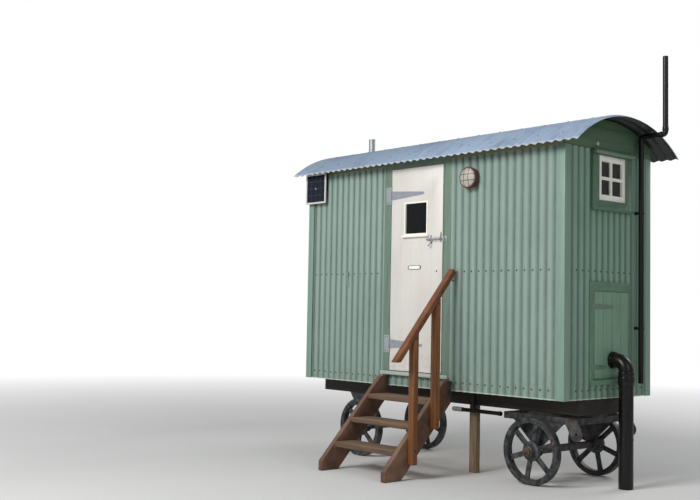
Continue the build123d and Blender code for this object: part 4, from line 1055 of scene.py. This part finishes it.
def hinge_screws(finish):
    """Screw heads in the two T hinges and the bolt's plate."""
    seat = DOOR_FACE - 0.004
    on_door, on_frame = [], []
    for level in HINGE_LEVELS:
        strap = [(-0.395, seat, level - 0.018), (-0.395, seat, level + 0.018)]
        strap += [(x, seat, level) for x in (-0.300, -0.190, -0.090)]
        on_door += heads_at("strap_screw", strap, 0.0055, 0.003)
        flap = [(x, seat, level + rise) for rise in (-0.058, 0.058) for x in (-0.492, -0.465)]
        on_frame += heads_at("hinge_screw", flap, 0.0055, 0.003)
    plate = [(x, seat, BOLT_LEVEL + rise) for x in (0.036, 0.088, 0.150) for rise in (-0.0155, 0.0155)]
    on_door += heads_at("bolt_screw", plate, 0.004, 0.0025)
    fit(joined("door_screws", *on_door), finish, "door")
    fit(joined("frame_screws", *on_frame), finish)


def bent_pipe(name, radius, start, heading, moves, thickness, sides):
    """A pipe drawn as by hand: a ring is extruded on straight runs and spun round square bends.

    A move is a length to run straight on, or a new heading and the radius of the bend towards it.
    """
    heading = Vector(heading)
    here = Vector(start)
    lay_down()
    turn = heading.to_track_quat("Z", "Y").to_euler()
    bpy.ops.mesh.primitive_circle_add(vertices=sides, radius=radius, location=here, rotation=turn)
    obj = settle(name)
    start_edit(obj)
    for move in moves:
        if isinstance(move, float):
            step = heading * move
            extrude(step)
            here = here + step
        else:
            towards, bend = Vector(move[0]), move[1]
            middle = here + towards * bend
            axis = heading.cross(towards)
            bpy.ops.mesh.spin(steps=14, angle=-math.pi / 2, center=middle, axis=axis)
            here = middle + heading * bend
            heading, towards = towards, heading
    tidy_mesh()
    end_edit()
    wall(obj, thickness)
    return soften(obj, 0.0008, 1, 50.0)


def pipe_ring(name, radius, start, end):
    """A collar round a pipe with softened edges."""
    ring = drum(name, radius, start, end, 40)
    return soften(ring, 0.0015)


def soil_pipe(finish):
    """Glossy drain pipe that comes out of the hatch and turns down, with its sockets."""
    y, z = 0.336, 0.953
    start, reach, bend = 1.304, 0.121, 0.085
    x = start + reach + bend
    pipe = bent_pipe("soil_pipe_run", 0.055, (start, y, z), (1, 0, 0),
                     [reach, ((0, 0, -1), bend), 0.868], 0.0032, 48)
    lip = pipe_ring("soil_lip", 0.0640, (1.389, y, z), (1.396, y, z))
    rings = [pipe_ring("soil_socket", 0.0620, (1.387, y, z), (1.414, y, z)), lip,
             copy_of(lip, "soil_lip_far", (0.013, 0, 0))]
    rings += [pipe_ring("soil_collar", radius, (x, y, high), (x, y, low))
              for radius, high, low in ((0.0600, 0.868, 0.834), (0.0620, 0.834, 0.769), (0.0640, 0.832, 0.822),
                                        (0.0570, 0.372, 0.360))]
    fit(joined("soil_pipe_finished", pipe, *rings), finish, stands_for=("soil_pipe",))


def vent_pipe(finish):
    """Thin pipe up the end wall that steps out round the roof."""
    y, x, radius, bend = 0.6462, 1.437, 0.0240, 0.023
    clip_low, clip_high, clip_half = 1.184, 1.206, 0.011
    pipe = bent_pipe("vent_run", 0.021, (x, y, 0.769), (0, 0, 1),
                     [1.904, ((1, 0, 0), bend), 0.168, ((0, 0, 1), bend), 0.585], 0.0025, 32)
    ring = pipe_ring("vent_ring", radius, (x, y, 2.638), (x, y, 2.670))
    sleeve = pipe_ring("vent_sleeve", radius, (1.464, y, 2.696), (1.484, y, 2.696))
    clip = pipe_ring("vent_clip", radius, (x, y, clip_low), (x, y, clip_high))
    foot = block("vent_clip_foot", (RIGHT, y - clip_half, clip_low), (1.415, y + clip_half, clip_high))
    parts = [pipe]
    for part, step in ((ring, (0.214, 0, 0.084)), (sleeve, (0.140, 0, 0)), (clip, (0, 0, 0.900)),
                       (soften(foot, 0.0015), (0, 0, 0.900))):
        parts += [part, copy_of(part, part.name + "_copy", step)]
    fit(joined("vent_pipe_finished", *parts), finish, stands_for=("vent_pipe",))


def waste_pipe(finish, socket_finish):
    """Thin waste pipe under the floor, with a grey socket on its end."""
    y, z, end_x, riser_x = -0.071, 0.504, 0.6425, 0.3475
    radius, collar = 0.016, 0.0185
    run = drum("waste_run", radius, (0.150, y, z), (end_x, y, z), 28)
    riser = drum("waste_riser", radius, (riser_x, y, z), (riser_x, y, 0.668), 28)
    tee = pipe_ring("waste_tee", collar, (0.322, y, z), (0.373, y, z))
    tee_up = pipe_ring("waste_tee_up", collar, (riser_x, y, z), (riser_x, y, 0.534))
    cap = pipe_ring("waste_cap", collar, (0.615, y, z), (end_x, y, z))
    pipe = joined("waste_pipe_finished", run, riser, tee, tee_up, cap)
    fit(pipe, finish, stands_for=("waste_pipe",))
    socket = drum("waste_socket", 0.019, (0.1325, y, z), (0.2375, y, z), 28)
    inset_facing(socket, (-1, 0, 0), (0.003, 0.0), (0.0005, -0.012))
    fit(soften(socket, 0.001), socket_finish)


def wheel_tyre():
    """The rim: a drum with a bead round both faces, opened inside its flange."""
    width, opening = 0.060, 0.214
    tyre = drum("tyre", WHEEL_RADIUS, (0, -width / 2, 0), (0, width / 2, 0), 80)
    for side in (-1, 1):
        start_edit(tyre)
        pick_facing((0, side, 0))
        inset((0.008, 0.0), (0.019, 0.0), (0.003, -0.006), (0.010, 0.004))
        bpy.ops.mesh.delete(type="FACE")
        end_edit()
    start_edit(tyre)
    pick("EDGE", lambda p: abs(p.x * p.x + p.z * p.z - opening ** 2) < 0.0008)
    bpy.ops.mesh.bridge_edge_loops()
    tidy_mesh()
    end_edit()
    return soften(tyre, 0.0022, 2, 28.0)


def wheel_spokes():
    """Six flat spokes, waisted, with a rib on one side."""
    spoke = block("spoke", (-0.024, -0.008, 0.046), (0.024, 0.008, 0.222))
    start_edit(spoke)
    bpy.ops.mesh.subdivide(number_cuts=3)
    pick("VERT", lambda p: 0.08 < p.z < 0.19)
    bpy.ops.transform.resize(value=(0.84, 1, 1), center_override=(0, 0, 0.13))
    pick("FACE", lambda p: p.y > 0.007 and abs(p.x) < 0.012)
    extrude((0, 0.010, 0))
    end_edit()
    soften(spoke, 0.0025, 2, 28.0)
    return copies(spoke, [((0, 0, 0), math.radians(60.0 * number + 12.0), "Y") for number in range(6)])


def wheel_hub():
    """A disc with a tapered boss on both sides."""
    hub = drum("wheel_hub", 0.076, (0, -0.016, 0), (0, 0.016, 0), 48)
    start_edit(hub)
    for side in (-1, 1):
        pick_facing((0, side, 0))
        inset((0.022, 0.004))
        extrude((0, side * 0.034, 0))
        bpy.ops.transform.resize(value=(0.88, 1, 0.88))
        inset((0.004, 0.0035), (0.012, 0.004))
    end_edit()
    return soften(hub, 0.002, 2, 28.0)


def wheels(finish):
    """A cast wheel, modelled once about the origin and copied to the four axle ends."""
    tyre = wheel_tyre()
    spokes = wheel_spokes()
    made = joined("wheel_pattern", tyre, wheel_hub(), *spokes)
    for end, x in (("front", FRONT_AXLE), ("rear", REAR_AXLE)):
        for side, y, turn in (("near", -0.111, 0.0), ("far", 0.709, math.pi)):
            node = end + "_wheel_" + side
            twin = copy_of(made, node + "_finished", (x, y, AXLE_HEIGHT), turn)
            fit(twin, finish, node, (node,))
    remove(made)


def flat_ring(name, outer, inner, start, end, sides):
    """A ring between two places: a drum whose ends are inset, opened and joined through."""
    start, end = Vector(start), Vector(end)
    way = (end - start).normalized()
    obj = drum(name, outer, start, end, sides)
    start_edit(obj)
    for direction in (way, -way):
        pick_facing(direction)
        inset((outer - inner, 0.0))
        bpy.ops.mesh.delete(type="FACE")
    pick("EDGE", lambda p: ((p - start) - way * (p - start).dot(way)).length < inner + 0.0005)
    bpy.ops.mesh.bridge_edge_loops()
    tidy_mesh()
    end_edit()
    return soften(obj, 0.001, 1)


def axles(finish):
    """Square axle with round journals, shoulder rings and capped ends, made once and copied."""
    half, shoulder, nut_seat = 0.025, 0.328, 0.4830
    bar = soften(block("axle_bar", (-half, -shoulder, -half), (half, shoulder, half)), 0.003)
    nut = soften(drum("axle_nut", 0.021, (0, nut_seat, 0), (0, 0.4905, 0), 6), 0.0012)
    tip = joined("axle_tip", nut, drum("axle_journal", 0.019, (0, 0.320, 0), (0, 0.478, 0), 32),
                 pipe_ring("axle_shoulder", 0.034, (0, shoulder, 0), (0, 0.347, 0)),
                 pipe_ring("axle_cap", 0.034, (0, 0.4765, 0), (0, 0.4835, 0)),
                 drum("axle_end", 0.010, (0, nut_seat, 0), (0, 0.4950, 0), 20))
    made = joined("axle_pattern", bar, tip, copy_of(tip, "axle_tip_far", turn=math.pi))
    for node, body, x in (("front_axle", "front_carriage", FRONT_AXLE), ("rear_axle", "hut", REAR_AXLE)):
        twin = copy_of(made, node + "_finished", (x, MIDDLE, AXLE_HEIGHT))
        fit(twin, finish, body, (node,))
    remove(made)


def turntable(finish):
    """Two flat rings with their centre plates, one below the hut and one on the carriage."""
    upper_low, upper_high, lower_low = 0.535, 0.546, 0.5237
    low, high = (FRONT_AXLE, MIDDLE, upper_low), (FRONT_AXLE, MIDDLE, upper_high)
    ring = flat_ring("turntable_ring", 0.340, 0.298, low, high, 96)
    plate = soften(drum("turntable_plate", 0.060, low, high, 48), 0.001, 1)
    upper = joined("turntable_upper_finished", ring, plate)
    lower = copy_of(upper, "turntable_lower_finished", (0, 0, lower_low - upper_low))
    fit(upper, finish, "hut", ("turntable_upper",))
    fit(lower, finish, "front_carriage", ("turntable_lower",))


def drawbar_lugs(finish):
    """Plates with wide eyes for a drawbar, drawn out upwards to the carriage and cut level with its top."""
    eye = Vector((1.343, MIDDLE, 0.409))
    hole, inner, outer, raised = 0.0135, 0.3402, 0.3520, 0.3535
    carriage_top = 0.5235
    seat = eye - Vector((0, inner, 0))
    lug = flat_ring("lug", 0.052, hole, seat, eye - Vector((0, outer, 0)), 48)
    moved(lug, (-0.050, 0, 0.088), lambda p: p.z - eye.z > 0.57 * (p.x - eye.x) and (p - eye).xz.length > 0.03)
    start_edit(lug)
    cut_off((0, 0, carriage_top), (0, 0, 1))
    end_edit()
    boss = flat_ring("lug_boss", 0.036, hole, seat, eye - Vector((0, raised, 0)), 48)
    pair = joined("drawbar_lugs_finished", lug, boss, copy_of(lug, "lug_far", (0, inner + outer, 0)),
                  copy_of(boss, "lug_boss_far", (0, inner + raised, 0)))
    fit(pair, finish, "front_carriage", ("drawbar_lugs",))


def horn_feet(finish):
    """Round bosses at the feet of the V plates, where the axles pass."""
    inner, outer = 0.3278, 0.3402
    foot = flat_ring("horn_foot", 0.0463, 0.0345, (FRONT_AXLE, MIDDLE - inner, AXLE_HEIGHT),
                     (FRONT_AXLE, MIDDLE - outer, AXLE_HEIGHT), 48)
    front = joined("front_horn_feet", foot, copy_of(foot, "horn_foot_far", (0, inner + outer, 0)))
    rear = copy_of(front, "rear_horn_feet", (REAR_AXLE - FRONT_AXLE, 0, 0))
    fit(front, finish, "front_carriage")
    fit(rear, finish)


def flue(finish):
    """Open pipe behind the crown of the roof, with a turned rim and a flashing ring."""
    x, y, top, bore = -1.3845, 0.359, 2.962, 0.0270
    pipe = flat_ring("flue_pipe", 0.0300, bore, (x, y, 2.780), (x, y, top), 40)
    rim = flat_ring("flue_rim", 0.0315, bore, (x, y, 2.950), (x, y, top), 40)
    skirt = flat_ring("flue_skirt", 0.040, 0.0295, (x, y, 2.786), (x, y, 2.806), 40)
    fit(joined("flue_finished", pipe, rim, skirt), finish, stands_for=("flue",))


def gable_boards(finish, knob_finish):
    """Curved boards below the roof at both ends, and a small round cap on the right one."""
    radius, half_depth, far_end = ROOF_RADIUS - 0.0168, 0.560, 2.934
    left = drum("gable_left", radius, (-1.570, MIDDLE, ROOF_MIDDLE.z), (-1.549, MIDDLE, ROOF_MIDDLE.z), 180)
    start_edit(left)
    cut_off((0, 0, SHEET_TOP), (0, 0, -1))
    cut_off((0, MIDDLE - half_depth, 0), (0, -1, 0))
    cut_off((0, MIDDLE + half_depth, 0), (0, 1, 0))
    end_edit()
    soften(left, 0.002, 2, 60.0)
    boards = joined("gable_boards_finished", left, copy_of(left, "gable_right", (far_end, 0, 0)))
    fit(boards, finish, stands_for=("gable_boards",))
    cap_y, cap_z = 0.1245, 2.587
    cap = pipe_ring("gable_cap", 0.016, (1.384, cap_y, cap_z), (1.401, cap_y, cap_z))
    fit(cap, knob_finish)


def end_window(board_finish, roll_finish, bar_finish, pane_finish):
    """Cover boards below a rounded drip board, and a slim four-light sash with its pane.

    The solid's sash has stouter bars and a higher drip board than the photo, so their corners are moved: the
    sash's outer bars get slimmer on their inner side, and the middle bars on both sides.
    """
    y, z = 0.331, 2.3355
    drop, roll_x, roll_z, half_roll = -0.032, 1.413, 2.527, 0.2605
    boards = dressed("end_window_boards", board_finish, 0.003)
    moved(boards, (-0.016, 0, drop), lambda p: p.x > 1.40 and p.z > 2.53)
    moved(boards, (0, 0, drop), lambda p: 1.3815 < p.x < 1.40 and p.z > 2.5445)
    roll = pipe_ring("drip_roll", 0.016, (roll_x, y - half_roll, roll_z), (roll_x, y + half_roll, roll_z))
    fit(roll, roll_finish)
    sash = dressed("end_window_sash", bar_finish, 0.002)
    for side in (-1, 1):
        moved(sash, (0, side * 0.014, 0), lambda p: 0.1195 < side * (p.y - y) < 0.1295)
        moved(sash, (0, side * -0.007, 0), lambda p: 0.014 < side * (p.y - y) < 0.024)
        moved(sash, (0, 0, side * 0.004), lambda p: 0.1185 < side * (p.z - z) < 0.1285)
        moved(sash, (0, 0, side * -0.007), lambda p: 0.014 < side * (p.z - z) < 0.024)
    pane = block("end_window_pane", (1.3570, y - 0.1390, z - 0.1280), (1.3630, y + 0.1390, z + 0.1280))
    fit(pane, pane_finish, stands_for=("end_window_glass",))


def door_bolt(finish):
    """Round sliding bolt with a handle that turns down to a ball."""
    y, z = -0.2725, BOLT_LEVEL
    grip = (0.0300, -0.2865, 1.840)
    bar = soften(drum("bolt_bar", 0.007, (-0.0110, y, z), (0.1625, y, z), 28), 0.0012)
    handle = drum("bolt_handle", 0.0045, (0.0580, y, z), grip, 20)
    lay_down()
    bpy.ops.mesh.primitive_uv_sphere_add(segments=24, ring_count=14, radius=0.008, location=grip)
    ball = smooth(settle("bolt_ball"))
    fit(joined("door_bolt_finished", bar, handle, ball), finish, "bolt", ("door_bolt",))


def bolt_flanges(finish):
    """Narrow upright flanges above and below the rod, which hold the bolt's staples to the door."""
    thick, wide = 0.0062, 0.010
    under, over = BOLT_LEVEL - 0.0085, BOLT_LEVEL + 0.0085
    flanges = []
    for x, low, high in ((0.0335, 1.858, under), (0.0335, over, 1.926),
                         (0.1435, 1.866, under), (0.1435, over, 1.946)):
        flange = block("bolt_flange", (x, DOOR_FACE - thick, low), (x + wide, DOOR_FACE, high))
        round_corners(flange, DOOR_FACE - thick / 2, 0.004, 4)
        flanges.append(soften(flange, 0.0005, 1))
    fit(joined("bolt_flanges", *flanges), finish, "door")


def hook(finish):
    """Wire hook: a round loop, a straight shank and a toe turned out."""
    x, y, z = -0.9906, -0.274, 1.61306
    loop_radius, wire = 0.009, 0.0028
    lay_down()
    bpy.ops.mesh.primitive_torus_add(major_radius=loop_radius, minor_radius=wire, major_segments=32,
                                     minor_segments=12, location=(x, y, z), rotation=(math.pi / 2, 0, 0))
    loop = smooth(settle("hook_loop"))
    shank = bent_pipe("hook_shank", wire, (x, y, z - loop_radius), (0, 0, -1),
                      [0.0750, ((1, 0, 0), 0.008), 0.006], 0.0009, 12)
    whole = joined("hold_back_hook_finished", loop, shank)
    fit(whole, finish, "hook", ("hold_back_hook",))


def coach_bolts(finish):
    """Dark bolt heads where the rail's posts meet the steps and the rail."""
    x, upper, lower = 0.338, -0.476, -0.716
    spots = ((x, upper, 0.455), (x, upper, 0.415), (x, lower, 0.225), (x, lower, 0.185),
             (x, upper, 1.360), (x, lower, 1.085), (x, -0.318, 1.545))
    heads = heads_at("coach_bolt", spots, 0.0085, 0.006, math.pi / 2)
    fit(joined("coach_bolts", *heads), finish)


def door(leaf_finish, bead_finish, pane_finish, iron_finish):
    """The leaf with its window moved to its place in the photo, and the hinges and the bolt's staples."""
    leaf = dressed("door_leaf", leaf_finish, 0.002)
    moved(leaf, WINDOW_SHIFT, lambda p: -0.26 < p.x < 0.05 and 1.90 < p.z < 2.25)
    moved(dressed("door_window_bead", bead_finish, 0.002), WINDOW_SHIFT)
    moved(dressed("door_glass", pane_finish, 0.0005, 1), WINDOW_SHIFT + Vector((0, -0.0125, 0)))
    ironwork = dressed("door_ironwork", iron_finish, 0.0008, 1)
    for low, step in ((0.0435, -0.016), (0.1215, 0.016)):
        moved(ironwork, (step, 0, 0),
              lambda p: low < p.x < low + 0.022 and 1.86 < p.z < 1.93 and p.y < DOOR_FACE - 0.0028)


# studio

def soft_light(name, spot, aim, size, watts):
    """A round area light at a place, aimed at another."""
    data = bpy.data.lights.new(name, "AREA")
    data.shape = "DISK"
    data.size = size
    data.energy = watts
    light = bpy.data.objects.new(name, data)
    bpy.context.scene.collection.objects.link(light)
    light.location = spot
    light.rotation_euler = (Vector(aim) - Vector(spot)).to_track_quat("-Z", "Y").to_euler()


def studio_world():
    """Soft light from all round, and a plain white background for the camera."""
    world = bpy.data.worlds.new("studio")
    bpy.context.scene.world = world
    world.use_nodes = True
    tree = world.node_tree
    rays = tree.nodes.new("ShaderNodeLightPath")
    sky = tree.nodes["Background"]
    sky.inputs["Color"].default_value = (0.96, 0.98, 1.0, 1.0)
    sky.inputs["Strength"].default_value = 0.28
    white = tree.nodes.new("ShaderNodeBackground")
    white.inputs["Color"].default_value = (1.0, 1.0, 1.0, 1.0)
    seen = tree.nodes.new("ShaderNodeMath")
    seen.operation = "MAXIMUM"
    tree.links.new(rays.outputs["Is Camera Ray"], seen.inputs[0])
    tree.links.new(rays.outputs["Is Transmission Ray"], seen.inputs[1])
    blend = tree.nodes.new("ShaderNodeMixShader")
    tree.links.new(seen.outputs[0], blend.inputs[0])
    tree.links.new(sky.outputs[0], blend.inputs[1])
    tree.links.new(white.outputs[0], blend.inputs[2])
    tree.links.new(blend.outputs[0], tree.nodes["World Output"].inputs["Surface"])
    bpy.context.scene.view_settings.view_transform = "Standard"


def stage(finish):
    """Pale floor and soft studio light."""
    lay_down()
    bpy.ops.mesh.primitive_circle_add(vertices=96, radius=60.0, fill_type="NGON", location=(0, 0, 0))
    floor = settle("studio_floor")
    floor.data.materials.append(finish)
    soft_light("key_light", (0.2, -9.0, 6.4), (0, 0, 1.4), 4.5, 745.0)
    soft_light("fill_light", (7.5, -1.0, 4.0), (0.5, 0.3, 1.3), 5.0, 62.0)
    soft_light("back_light", (1.0, 8.0, 6.0), (0, 0.3, 1.5), 5.0, 240.0)
    studio_world()


photo_camera()

# the hut's finishes

green = tint(117, 139, 122)
green_dark = tint(100, 121, 105)
green_pale = tint(138, 158, 142)
boards_up = painted_boards("green_boards_upright", green, green_dark, green_pale, UPRIGHT)
boards_long = painted_boards("green_boards_along", tint(128, 128, 86), tint(106, 106, 70), green_pale, ALONG_X)
boards_across = painted_boards("green_boards_across", tint(90, 118, 92), tint(78, 104, 79), green_pale, ALONG_Y,
                               ("Z", 0.172, 0.004, 2.720))
pale_sill = painted_boards("pale_sill_paint", tint(178, 188, 178), tint(160, 171, 160), tint(204, 210, 202),
                           ALONG_X)
end_boards = painted_boards("green_end_boards", tint(104, 138, 113), tint(92, 125, 101), green_pale, SLOPING)
window_boards = painted_boards("green_window_boards", tint(93, 124, 102), tint(82, 112, 91), green_pale, SLOPING)
hatch_boards = painted_boards("green_hatch_boards", tint(129, 163, 140), tint(117, 151, 128), green_pale,
                              UPRIGHT, ("Y", 0.1122, 0.004, 0.1065))
green_iron = painted_boards("green_painted_iron", tint(122, 147, 127), green_dark, green_pale, EVEN)
cap_green = painted_boards("green_cap", tint(176, 196, 168), tint(160, 182, 154), green_pale, EVEN)
corner_green = painted_boards("green_corner_trim", tint(132, 160, 146), tint(122, 150, 136),
                              tint(154, 176, 166), UPRIGHT)
sheets = {
    "front": sheet_paint("green_sheet_front", "Y", FRONT, 1, tint(133, 154, 145), tint(142, 163, 155)),
    "back": sheet_paint("green_sheet_back", "Y", BACK, -1, tint(134, 157, 146), tint(143, 166, 156)),
    # the end sheets' paints are greener copies of the front's: painted shade for the end walls
    "right": sheet_paint("green_sheet_right_painted_shade", "X", RIGHT, -1, tint(122, 156, 137), tint(132, 165, 147)),
    "left": sheet_paint("green_sheet_left_painted_shade", "X", LEFT, 1, tint(128, 155, 141), tint(138, 165, 152)),
}
cream_door = cream_paint("cream_door", 0.1212, -0.4415)
cream_bars = bright_cream("cream_window_bars")
zinc_iron = zinc("zinc_iron", tint(150, 153, 164), 0.5, 0.2)
zinc_door = zinc("zinc_door_iron", tint(150, 153, 164), 0.5, 0.2, True)
zinc_pale = zinc("zinc_pale", tint(160, 174, 170), 0.5, 0.2)
plate_rim = zinc("plate_rim", tint(112, 112, 108), 0.5, 0.3)
plate_face = bright_cream("plate_face")
zinc_screw = zinc("zinc_screws", tint(140, 142, 146))
screw_dark = old_iron("dark_screws", tint(44, 54, 50), 0.2).material
roof_metal = galvanised_roof("galvanised_roof")
flue_metal = zinc("galvanised_flue", tint(176, 180, 182), 0.4, 0.5)
iron_wheels = wheel_iron("wheel_iron_old")
iron_chassis = old_iron("chassis_iron", tint(40, 40, 42), 0.45).material
iron_rusty = old_iron("rusty_iron", tint(52, 48, 46), 0.75).material
iron_dark = old_iron("dark_iron", tint(48, 48, 50), 0.3).material
# the beams are dark timber, darkened further as painted shade under the hut
timber_beams = weathered("beam_timber", tint(42, 37, 32), tint(30, 26, 22), tint(60, 52, 44), ALONG_X, 0.3)
timber_steps = weathered("step_timber", tint(114, 81, 63), tint(77, 52, 41), tint(146, 112, 90), ALONG_STEPS, 0.6)
timber_treads = weathered("tread_timber", tint(112, 88, 70), tint(78, 58, 46), tint(146, 120, 98), ALONG_X, 0.75)
timber_posts = weathered("post_timber", tint(134, 84, 40), tint(94, 55, 26), tint(166, 110, 62), UPRIGHT,
                         0.3, 0.6)
timber_rail = weathered("rail_timber_red", tint(138, 80, 46), tint(92, 50, 28), tint(168, 110, 70), SLOPING,
                        0.22, 0.6)
timber_prop = weathered("prop_timber", tint(154, 130, 102), tint(112, 92, 70), tint(182, 158, 126), UPRIGHT, 0.3)
inside_walls = indoor_boards("inside_boards_x", tint(214, 182, 138), "X", 0.095)
inside_ends = indoor_boards("inside_boards_y", tint(214, 182, 138), "Y", 0.095)
inside_floor = indoor_boards("floor_boards", tint(150, 112, 74), "Y", 0.120)
inside_roof = indoor_boards("roof_boards", tint(210, 178, 134), "Y", 0.095)
pipe_gloss = black_plastic("black_gloss_pipe", 0.24)
pipe_plain = black_plastic("black_vent_pipe", 0.34)
socket_grey = grey_plastic("grey_socket")
door_pane = clear_glass("door_glass_dark", tint(96, 102, 108))
end_pane = clear_glass("end_glass", tint(112, 120, 116), 0.15)
lamp_white = lamp_shade("lamp_white_glass")
lamp_brown = copper("lamp_brown_copper")
solar_blue = solar_cells("solar_blue_cells", -1.558, 2.299, 0.063)
frame_white = cream_paint("white_solar_frame")

# the solids that stay in view, and the pieces

for node in ("front_wall_left", "front_wall_right", "front_wall_head", "back_wall"):
    repaint(node, inside_walls)
for node in ("end_walls", "right_end_rails", "right_end_studs"):
    repaint(node, inside_ends)
repaint("floor_platform", inside_floor)
repaint("roof_lining", inside_roof)

cladding(sheets)
roof(roof_metal)
sheet_screws(screw_dark)
roof_screws(zinc_screw)

dressed("corner_trims", corner_green, 0.0012)
dressed("eaves_boards", boards_long, 0.002)
dressed("door_frame", boards_up, 0.002)
dressed("threshold", pale_sill, 0.003)
door(cream_door, cream_bars, door_pane, zinc_door)
dressed("frame_ironwork", zinc_pale, 0.0008, 1)
end_window(window_boards, green_iron, cream_bars, end_pane)
dressed("hatch_frame", end_boards, 0.003)
dressed("hatch_door", hatch_boards, 0.0015)
dressed("hatch_hinges", green_iron, 0.0008, 1)
dressed("chassis_beams", timber_beams, 0.004)
dressed("carriage_frame", iron_chassis, 0.0015)
dressed("front_horns", iron_chassis, 0.0015)
dressed("rear_horns", iron_chassis, 0.0015)
dressed("step_stringers", timber_steps, 0.004)
dressed("step_treads", timber_treads, 0.005, 3)
dressed("rail_posts", timber_posts, 0.004, 3)
dressed("handrail", timber_rail, 0.007, 3)
dressed("prop", timber_prop, 0.003)
dressed("step_hooks", iron_dark, 0.0008, 1)

lamp(lamp_brown, lamp_white)
solar_panel(frame_white, solar_blue, boards_up)
name_plate(plate_rim, plate_face, iron_dark)
hinge_screws(zinc_screw)
soil_pipe(pipe_gloss)
vent_pipe(pipe_plain)
waste_pipe(pipe_plain, socket_grey)
wheels(iron_wheels)
axles(iron_rusty)
turntable(iron_dark)
drawbar_lugs(iron_rusty)
horn_feet(iron_chassis)
flue(flue_metal)
gable_boards(boards_across, cap_green)
door_bolt(zinc_iron)
bolt_flanges(plate_rim)
hook(zinc_iron)
coach_bolts(iron_dark)

stage(pale_floor("studio_floor"))
